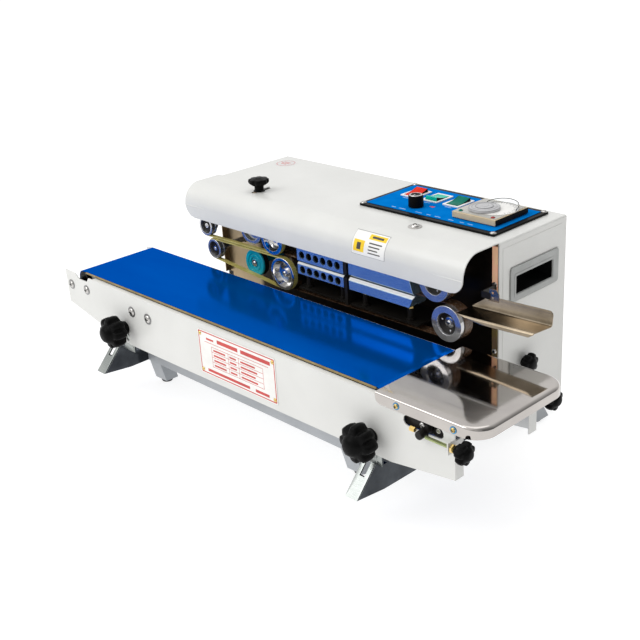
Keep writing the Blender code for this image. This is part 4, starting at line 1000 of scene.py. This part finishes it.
def make_panel():
    piece(flat("panel_base", "Z", 293.3, 296.4, [rounded((7, 77.5), (247, 198), 2),
        rounded((34, 139), (140, 171), 1)], 0.5), BLACK_PLASTIC, "control_panel")
    windows = [rounded((x - 10.9, 140.1), (x + 10.9, 169.9), 0.6, 2) for x in ROCKER_X]
    piece(flat("panel_overlay", "Z", 296.45, PANEL_TOP, [rounded((14, 85.5), (240, 189.5), 1.5)]
        + windows, 0.15), BLUE_FACE)
    for x in (11.5, 242.5):
        for y in (82, 193.5):
            washer("panel_washer", (x, y, 296.4), UP, 4.4, 2, 0.7, PLAIN_STEEL)
            screw("panel_screw", (x, y, 297), UP, 3.4, PLAIN_STEEL, 1.8)
    for x in ROCKER_X:
        bezel = flat("rocker_bezel", "Z", PANEL_TOP, 299, [rounded((x - 14.4, 136.2),
            (x + 14.4, 173.8), 1.4), rounded((x - 10.7, 139.6), (x + 10.7, 170.4), 0.8)], 0.5)
        piece(bezel, PALE, slot="black_plastic")
    for x, y, width in ((47.5, 132.6, 12), (87.4, 132.6, 10), (126, 132.6, 12), (62, 91, 8),
            (78, 91, 12), (108, 91, 12), (126, 91, 7), (142, 91, 10), (165, 91, 9), (184, 91, 7),
            (198, 91, 9)):
        piece(flat("panel_mark", "Z", PANEL_TOP, PANEL_TOP + 0.08,
            [rounded((x - width / 2, y - 0.8), (x + width / 2, y + 0.8), 0.5, 2)], 0), PALE_BLUE)
    piece(flat("panel_pointer", "Z", PANEL_TOP, PANEL_TOP + 0.1, [[(101, 121), (110, 118.5),
        (110, 124.5)]], 0), RED)


def make_rockers():
    for name, x, material, raised in (("power_rocker", ROCKER_X[0], RED, 1),
            ("fan_rocker", ROCKER_X[1], TEAL_LENS, -1), ("heat_rocker", ROCKER_X[2], DARK_GREEN,
            1)):
        outline = [(-14, 0.5), (-12.5, -5.9), (0, -9.9), (12.5, -5.9), (14, 0.5), (13.8, 5.2),
            (13.3, 7.8), (12.2, 7.6), (9, 6.6), (5, 5.4), (0, 4.2), (-4, 3.6), (-9, 3.3),
            (-13.2, 3.2)]
        points = [(ROCKER_PIVOT[0] + raised * across, ROCKER_PIVOT[1] + up) for across,
            up in outline]
        key = flat(name + "_key", "X", x - 10.2, x + 10.2, [points], 0.5, 3)
        slot_name = "red_plastic" if name == "power_rocker" else "green_plastic"
        piece(key, material, name, body=name, slot=slot_name)
        # thin black sheets on the key's sides: painted shade lines round the key
        for near, far in ((x - 10.3, x - 10.22), (x + 10.22, x + 10.3)):
            piece(flat(name + "_side", "X", near, far, [points], 0), BLACK_PLASTIC, body=name)


def make_speed_knob():
    profile = [(0, 26.4), (7.4, 26.4), (8.3, 26.6), (9.6, 26.4), (10.6, 25.2), (10.9, 11),
        (10.9, 10.4), (3, 10.4), (3, 0), (0, 0)]
    piece(turned("speed_knob_body", profile, SPEED_KNOB, UP, 96, 0.2, 24, 0.35), BAKELITE,
        "speed_knob", body="speed_knob")
    cap = [(7, 27.2), (9, 27.1), (9.6, 26.3), (7, 26.3)]
    piece(turned("speed_knob_ring", cap, SPEED_KNOB, UP, 64), PLAIN_STEEL, body="speed_knob",
        slot="chrome")
    piece(box("speed_knob_line", (86.6, 100.8, 314.4), (87.8, 108, 315), 0.15), PALE,
        body="speed_knob", slot="white_paint")


def make_controller():
    """Temperature controller: beige case, dark right side, dial under a round clear cover."""
    piece(flat("controller_body", "Z", 298.3, 306.4, [rounded((159, 100.3), (231.6, 172.5), 1.2)],
        0.6), BEIGE, "controller_case")
    piece(box("controller_side", (231.65, 101, 298.6), (232, 171.8, 306), 0.1), BLACK_PLASTIC)
    piece(flat("controller_face", "Z", CASE_FACE - 0.5, CASE_FACE, [rounded((161.5, 102.8),
        (229.5, 170), 1)], 0.15), FACE_GREY)
    rim = arc(SCALE, 28.4, 5, 160, 48)
    tops = [307.4 + 6.1 * sqrt(sin(pi * step / 48)) for step in range(49)]
    edge = [(x, y, z) for (x, y), z in zip(rim, tops)]
    piece(from_sheet("scale_wall", grid_cage([edge, [(x, y, 307) for x, y in rim]]), 0.5, 0), CLEAR)
    tube("scale_edge", edge, 0.45, BLACK_PLASTIC)
    foot = [(28.95, 307.6), (29.6, 307.2), (29.6, 306.9), (28.95, 306.9)]
    piece(turned("scale_foot", foot, (*SCALE, 0), UP, 96, 0), PLAIN_STEEL)
    piece(flat("dial_scale", "Z", 306.95, 307.2, [circle(SCALE, 27.9, 64)], 0), LABEL)
    for index in range(19):
        angle = radians(-30 + 9 * index)
        inner, outer = (22, 26.6) if index % 2 == 0 else (24.4, 26.6)
        tick = box("dial_tick", (inner, -0.28, 307.15), (outer, 0.28, 307.4), 0)
        tick.rotation_euler = (0, 0, angle)
        reach = (inner + outer) / 2
        tick.location = Vector((SCALE[0] + reach * cos(angle), SCALE[1] + reach * sin(angle),
            307.28)) * MM
        piece(tick, PRINT_GREY)
    for x, y, material in ((168.8, 107.4, DARK_GREEN), (223, 107, DEEP_RED)):
        lamp = [(0, 1.9), (2, 1.5), (3, 0.4), (3.1, 0), (0, 0)]
        piece(turned("pilot_lamp", lamp, (x, y, CASE_FACE), UP, 32), material, slot="red_plastic")
    dial = [(0, 9.7), (5.5, 9.6), (6.4, 8.9), (11.5, 8.7), (12.2, 8.1), (17, 7.9), (20.6, 7.3),
        (21.5, 6.5), (21.5, 4.2), (20.4, 3.6), (20.4, 0.2), (0, 0.2)]
    piece(turned("dial_knob", dial, DIAL, UP, 120, 0.25, 48, 0.35), DISC_GREY, "temperature_dial",
        body="temperature_dial")
    for inner, high in ((11.7, 8.78), (16.6, 8.02), (20.5, 7.45)):
        line = [(inner, high), (inner + 0.6, high), (inner + 0.6, high - 0.6), (inner, high - 0.6)]
        piece(turned("dial_line", line, DIAL, UP, 96, 0), PRINT_GREY, body="temperature_dial")
    piece(box("dial_pointer", (190.6, 142.5, 311), (191.4, 149, 311.4), 0.1), PRINT_GREY,
        body="temperature_dial")


def knob(name, node, body, at, axis, radius, neck, grip, dome, lobes, bolt, rod=None,
        lobe_depth=0.22, collar=0):
    """Moulded star knob on its screw: lobed flange, domed middle, threaded rod."""
    profile = [(0, neck + grip + dome), (radius * 0.28, neck + grip + dome * 0.96),
        (radius * 0.42, neck + grip + dome * 0.80), (radius * 0.52, neck + grip + dome * 0.48),
        (radius * 0.58, neck + grip + dome * 0.16), (radius * 0.66, neck + grip, 0.2),
        (radius * 0.84, neck + grip - 0.3, 0.8), (radius * 0.97, neck + grip * 0.86, 1),
        (radius, neck + grip * 0.60, 1), (radius, neck + grip * 0.30, 1),
        (radius * 0.93, neck, 0.9), (radius * 0.70, neck * 0.75, 0.4), (max(collar, radius * 0.45),
        neck * 0.6), (max(collar, radius * 0.40), 0), (0, 0)]
    made = aim(from_cage(name, spun(profile, lobes * 16, lobes, radius * lobe_depth), at, angle=60),
        axis)
    piece(made, BAKELITE, node, body=body)
    root, length = bolt
    pitch, thread_depth = 1, 0.45
    count = int(length / pitch * 2)
    thread = [(root - thread_depth * (step % 2), -0.2 - (length - 0.4) * step / count)
        for step in range(count + 1)]
    profile = [(0, -0.1)] + thread + [(0, -length)]
    piece(aim(from_cage(name + "_rod", spun(profile, 24), at, angle=25), axis), rod or PLAIN_STEEL,
        body=body, slot="steel")
    return made


def make_knobs():
    for side, x in (("left", -262), ("right", 256)):
        node = "clamp_knob_" + side
        knob(node + "_grip", node, node, (x, -169, 113), FRONT, 25, 13, 20, 9, 8, (4, 9))
        washer(node + "_washer", (x, -168.1, 113), FRONT, 9.5, 4.3, 0.8, PLAIN_STEEL)
    for side, wall, axis in (("right", 269, RIGHT), ("left", -294, LEFT)):
        node = "end_knob_" + side
        knob(node + "_grip", node, node, (wall, 115, 110), axis, 15, 6, 10, 3, 7, (3.5, 10))
    x, y = PRESS_SCREW
    knob("pressure_grip", "pressure_knob", "pressure_knob", (x, y, 297), UP, 15.9, 10.5, 7, 1, 8,
        (3, 38), None, 0.12, 7)
    cap = [(0, 0.7), (4.4, 0.7), (5, 0.3), (5, -0.8), (0, -0.8)]
    piece(turned("pressure_cap", cap, (x, y, 315.3), UP, 32), BLACK_PLASTIC, body="pressure_knob")
    washer("pressure_washer", (x, y, 295.1), UP, 9, 3.2, 1, BLACK_PLASTIC)
    for side, y in (("front", -174.5), ("rear", -9)):
        node = "tension_knob_" + side
        knob(node + "_grip", node, node, (391, y, 146.5), RIGHT, 14, 7, 10, 4, 7, (2.2, 44),
            GREEN_BRASS)
        hex_nut(node + "_nut", (385, y, 146.5), RIGHT, 5.4, 3.6, BRASS, body=node)


make_panel()
make_rockers()
make_speed_knob()
make_controller()
make_knobs()


# ---------------------------------------------------------------- conveyor

SIDE_FACES = {"front": -168, "rear": -15.5}
DRIVE_ROLLER = (-381.5, 161.5)           # x and z
IDLE_ROLLER = (340, 153.5)
BED_NOSE = (257.3, 167.8)

def make_panels():
    refine("front_panel", PAINT, 0.5, body="conveyor")
    refine("rear_panel", PAINT, 0.5, body="conveyor")
    for x, z, radius in ((-407, 149, 5.6), (-363, 149.5, 5.6), (-240, 144, 6), (-199, 143, 6)):
        washer("panel_washer", (x, SIDE_FACES["front"], z), FRONT, radius * 1.4, radius * 0.5, 0.8,
            DULL_STEEL, body="conveyor")
        screw("side_screw", (x, SIDE_FACES["front"] - 0.7, z), FRONT, radius, PLAIN_STEEL, 2.6,
            body="conveyor")
    for x in (-395, -240, 180):
        screw("rear_screw", (x, SIDE_FACES["rear"], 149), BACK, 4.4, PLAIN_STEEL, 2,
            body="conveyor")


def make_nameplate():
    """Blank data plate: red frame, ruled table and brass rivets, no lettering."""
    front = SIDE_FACES["front"] - 0.05
    low, high = (-76, 96), (86, 163)
    piece(flat("data_plate", "Y", front - 0.7, front, [rounded(low, high, 2)], 0.2), LABEL,
        body="conveyor")
    y = front - 0.7

    def ink(name, loops):
        piece(flat(name, "Y", y - 0.07, y, loops, 0), PLATE_RED, body="conveyor")

    ink("data_plate_frame", [rounded((low[0] + 1.4, low[1] + 1.4), (high[0] - 1.4, high[1] - 1.4),
        1.6), rounded((low[0] + 3, low[1] + 3), (high[0] - 3, high[1] - 3), 1.2)])
    ink("data_plate_rule", [rounded((-62, 146.2), (72, 146.9), 0.2, 2)])
    for row in range(5):
        z = 111 + 7.6 * row
        ink("data_plate_line", [rounded((-48, z), (60, z + 0.6), 0.1, 2)])
    for x in (-48, -12, 10, 60):
        ink("data_plate_column", [rounded((x, 111), (x + 0.6, 141.8), 0.1, 2)])
    for x, width, tall in ((-58, 16, 3), (-34, 44, 5.6), (16, 60, 5.6)):
        ink("data_plate_bar", [rounded((x, 150.3), (x + width, 150.3 + tall), 0.5, 2)])
    for row in range(4):
        for x, width in ((-44, 26), (-9, 14), (14, 34 - 4 * (row % 2))):
            z = 113.4 + 7.6 * row
            ink("data_plate_entry", [rounded((x, z), (x + width, z + 2.6), 0.3, 2)])
    ink("data_plate_foot", [rounded((-60, 101.6), (30, 105.8), 0.4, 2)])
    ink("data_plate_foot_end", [rounded((42, 101.6), (70, 105.8), 0.4, 2)])
    for x in (low[0] + 5, high[0] - 5):
        for z in (low[1] + 6, high[1] - 6):
            dome = [(0, 1.6), (1.5, 1.4), (2.6, 0.7), (3, 0), (0, 0)]
            piece(aim(from_cage("plate_rivet", spun(dome, 24), (x, y, z), angle=60), FRONT), BRASS,
                body="conveyor")


def make_belt():
    wheels = [(*DRIVE_ROLLER, 12.3), (*IDLE_ROLLER, 12.3), (*BED_NOSE, 6)]
    loops = [taut_loop(wheels, 1.3, 40), taut_loop(wheels, 0.05, 40)]
    piece(flat("belt_band", "Y", -158.7, -22.5, loops, 0), BLUE_BELT, "conveyor_belt",
        body="conveyor")
    for near, far in ((-160.6, -158.85), (-22.35, -21.7)):
        edge = [(-372, 174.6), (-372, 172.4), (258, 172.4), (258, 174.6)]
        piece(flat("bed_edge", "Y", near, far, [edge], 0.1), EDGE_TAN, body="conveyor")
    refine("slider_bed", PLAIN_STEEL, 0.3, body="conveyor")
    for node, (x, z) in (("drive_roller", DRIVE_ROLLER), ("idle_roller", IDLE_ROLLER)):
        profile = [(0, 74.1), (3.6, 74.1), (4, 73.6), (4, 68.1), (11.2, 68.1), (12, 67.3)]
        profile += [(radius, -height) for radius, height in reversed(profile)]
        piece(turned(node + "_drum", profile, (x, -91.75, z), FRONT, 56), DARK_ROLLER, node,
            body=node)


def tray_outline(inset):
    """Tray edge in plan from the rear left to the front left, drawn in by inset."""
    left, right, near, far = 265.2, 420.5 - inset, -169.8 + inset, -3 - inset
    corner = 27 - inset
    points = [(left, far)]
    points += list(reversed(arc((right - corner, far - corner), corner, 0, 90, 14)))
    points += list(reversed(arc((right - corner, near + corner), corner, -90, 0, 14)))
    return points + [(left, near)]


def make_tray():
    """Polished outlet tray: one sheet rolled over along its three outer edges."""
    top, skirt = 175.6, 161
    count = len(tray_outline(0))
    rings = []
    for step in range(9):
        turn = radians(90 * step / 8)
        ring = []
        for index, (x, y) in enumerate(tray_outline(0)):
            share = index / (count - 1)
            roll = 7 if index < count - 16 else 7 - 4 * max(0, (index - count + 16) / 15)
            inner = tray_outline(roll)[index]
            mix = 1 - sin(turn)
            ring.append((x + (inner[0] - x) * mix, y + (inner[1] - y) * mix,
                top - roll * (1 - cos(turn))))
        rings.append(ring)
    last = []
    for index, (x, y) in enumerate(tray_outline(0)):
        drop = skirt
        if index == count - 1:
            drop = top - 6
        last.append((x, y, drop))
    cage = bmesh.new()
    grid = [[cage.verts.new(Vector(point) * MM) for point in ring] for ring in rings]
    low = [cage.verts.new(Vector(point) * MM) for point in last]
    near_left = [cage.verts.new(Vector((265.2 + 8 * (1 - cos(radians(a))), -169.8,
        top - 6 - (top - 6 - skirt) * sin(radians(a)))) * MM) for a in (22.5, 45, 67.5, 90)]
    cage.faces.new(grid[0])
    for upper, lower in zip(grid, grid[1:]):
        for index in range(count - 1):
            cage.faces.new((upper[index], lower[index], lower[index + 1], upper[index + 1]))
    for index in range(count - 2):
        cage.faces.new((grid[-1][index], low[index], low[index + 1], grid[-1][index + 1]))
    cage.faces.new([grid[-1][-2], low[-2]] + list(reversed(near_left)) + [low[-1], grid[-1][-1]])
    bmesh.ops.remove_doubles(cage, verts=cage.verts, dist=WELD)
    bmesh.ops.recalc_face_normals(cage, faces=cage.faces)
    piece(finish_shading(from_sheet("tray_sheet", cage, 1.2), 50), MIRROR, "outlet_tray",
        body="conveyor")
    for x, z in ((298.7, 167.4), (383.3, 166.6)):
        washer("tray_washer", (x, -169.85, z), FRONT, 4.6, 2, 0.6, BLUE_STEEL, body="conveyor")
        screw("tray_screw", (x, -170.4, z), FRONT, 3.2, BRASS, 2, body="conveyor")


def make_tension():
    """Sliding bearing blocks, the bolts that pull them and dark sheets painted as shade behind the
    slots.
    """
    for side in ("front", "rear"):
        node = "tension_block_" + side
        outward = -1 if side == "front" else 1
        axis = FRONT if side == "front" else BACK
        face = SIDE_FACES[side]
        rod_y = -174.5 if side == "front" else -9
        bolt = [(0, 10.2), (4.6, 10.2), (5.3, 9.4), (5.3, 0), (0, 0)]
        piece(turned(node + "_bolt", bolt, (340, face + outward * 1.4, 147.4), axis, 24, 0.3),
            BLACK_STEEL, node, body="conveyor")
        slider = flat(node + "_slider", "Y", face - outward * 6.8, face + outward * 0.3,
            [rounded((333.6, 147.7), (346.4, 159.3), 1), circle(IDLE_ROLLER, 4.4, 24)], 0.3)
        piece(slider, BLACK_STEEL, body="conveyor")
        piece(flat(node + "_cap", "Y", face + outward * 0.3, face + outward * 1.5,
            [rounded((334.2, 141.6), (345.8, 158.8), 1)], 0.3), BLACK_STEEL, body="conveyor")
        screw(node + "_screw", (337.6, face + outward * 1.5, 156.4), axis, 3.4, PLAIN_STEEL, 1.8,
            body="conveyor")
        nut_y = rod_y + outward * -1
        hex_nut(node + "_nut", (323.5, nut_y, 149.4), RIGHT, 3.4, 7, BRASS, body="conveyor")
        # dark sheets painted as shade behind the slots
        for name, left, right in (("_shade", 306, 331), ("_shade_end", 349, 369)):
            piece(flat(node + name, "Y", face - outward * 5.4, face - outward * 6.4,
                [rounded((left, 145), (right, 162), 1)], 0), BLACK_STEEL, body="conveyor")
        stub = [(0, 2.2), (2.8, 2.2), (3.2, 1.8), (3.2, 0), (0, 0)]
        piece(turned(node + "_peg", stub, (357, face - outward * 5.4, 153.5), axis, 20, 0.1),
            PLAIN_STEEL, body="conveyor")
    profile = [(0, 66), (21.5, 66), (23, 64.5), (23, 41.5), (21.5, 40), (18, 40), (18, 0), (0, 0)]
    piece(turned("conveyor_motor_can", profile, (-219, -100.2, 118), FRONT, 56), BLACK_STEEL,
        "conveyor_motor", body="conveyor")


make_panels()
make_nameplate()
make_belt()
make_tray()
make_tension()


# ---------------------------------------------------------------- stage

WORLD_LIGHT = 1
LAMPS = (("key", (-0.9, -1.7, 2), 1.6, 20), ("fill", (1.9, -1.3, 0.9), 1.2, 1),
    ("top", (0, 0.3, 2.2), 1.8, 8))

def make_stage():
    cage = bmesh.new()
    bmesh.ops.create_grid(cage, x_segments=1, y_segments=1, size=30)
    mesh = bpy.data.meshes.new("floor")
    cage.to_mesh(mesh)
    cage.free()
    floor = link("floor", mesh)
    tone = shader("floor_tone", (0.4, 0.4, 0.4), 0.6, Specular_IOR_Level=0,
        Emission_Color=(1, 1, 1, 1), Emission_Strength=0.78)
    tones(tone, noise(tone, 0.004), (0.38, 0.38, 0.38), (0.42, 0.42, 0.42))
    floor.data.materials.append(tone)
    floor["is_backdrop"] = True
    world = bpy.data.worlds.new("studio")
    bpy.context.scene.world = world
    world.use_nodes = True
    tree = world.node_tree
    sky = add_node(tree, "TexCoord").outputs["Generated"]
    split = add_node(tree, "SeparateXYZ", Vector=sky)
    across = add_node(tree, "MapRange", Value=split.outputs["X"], From_Min=-1)
    height_tone = ramp(tree, split.outputs["Z"], (0, (0.78, 0.78, 0.78)), (0.6, (1, 1, 1)))
    side_tone = ramp(tree, across.outputs["Result"], (0.55, (1, 1, 1)), (0.90, (0.22, 0.22, 0.22)))
    background = tree.nodes["Background"].inputs
    tree.links.new(mixed(tree, 1, height_tone, side_tone, "MULTIPLY"), background["Color"])
    background["Strength"].default_value = WORLD_LIGHT
    for name, at, size, power in LAMPS:
        data = bpy.data.lights.new(name, "AREA")
        data.shape = "SQUARE"
        data.size = size
        data.energy = power
        lamp = bpy.data.objects.new(name, data)
        lamp.location = at
        lamp.rotation_mode = "QUATERNION"
        lamp.rotation_quaternion = (Vector((0, 0, 0.15)) - Vector(at)).to_track_quat("-Z", "Y")
        bpy.context.scene.collection.objects.link(lamp)


def make_camera():
    """Camera at the viewing angle: azimuth, elevation, slight roll."""
    data = bpy.data.cameras.new("camera")
    data.lens = 59.80
    data.sensor_width = 36
    data.clip_start = 0.05
    data.clip_end = 60
    camera = bpy.data.objects.new("camera", data)
    azimuth, elevation, roll = (radians(value) for value in (47.564, 23.043, -3.644))
    back = Vector((sin(azimuth) * cos(elevation), -cos(azimuth) * cos(elevation), sin(elevation)))
    right = Vector((cos(azimuth), sin(azimuth), 0))
    up = back.cross(right)
    tilted_right = right * cos(roll) + up * sin(roll)
    tilted_up = up * cos(roll) - right * sin(roll)
    turn = Matrix([[tilted_right[row], tilted_up[row], back[row]] for row in range(3)])
    camera.matrix_world = Matrix.Translation((1.0432, -0.9601, 0.7414)) @ turn.to_4x4()
    bpy.context.scene.collection.objects.link(camera)
    bpy.context.scene.camera = camera


make_stage()
make_camera()
bpy.context.scene.view_settings.view_transform = "Standard"

low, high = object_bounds()
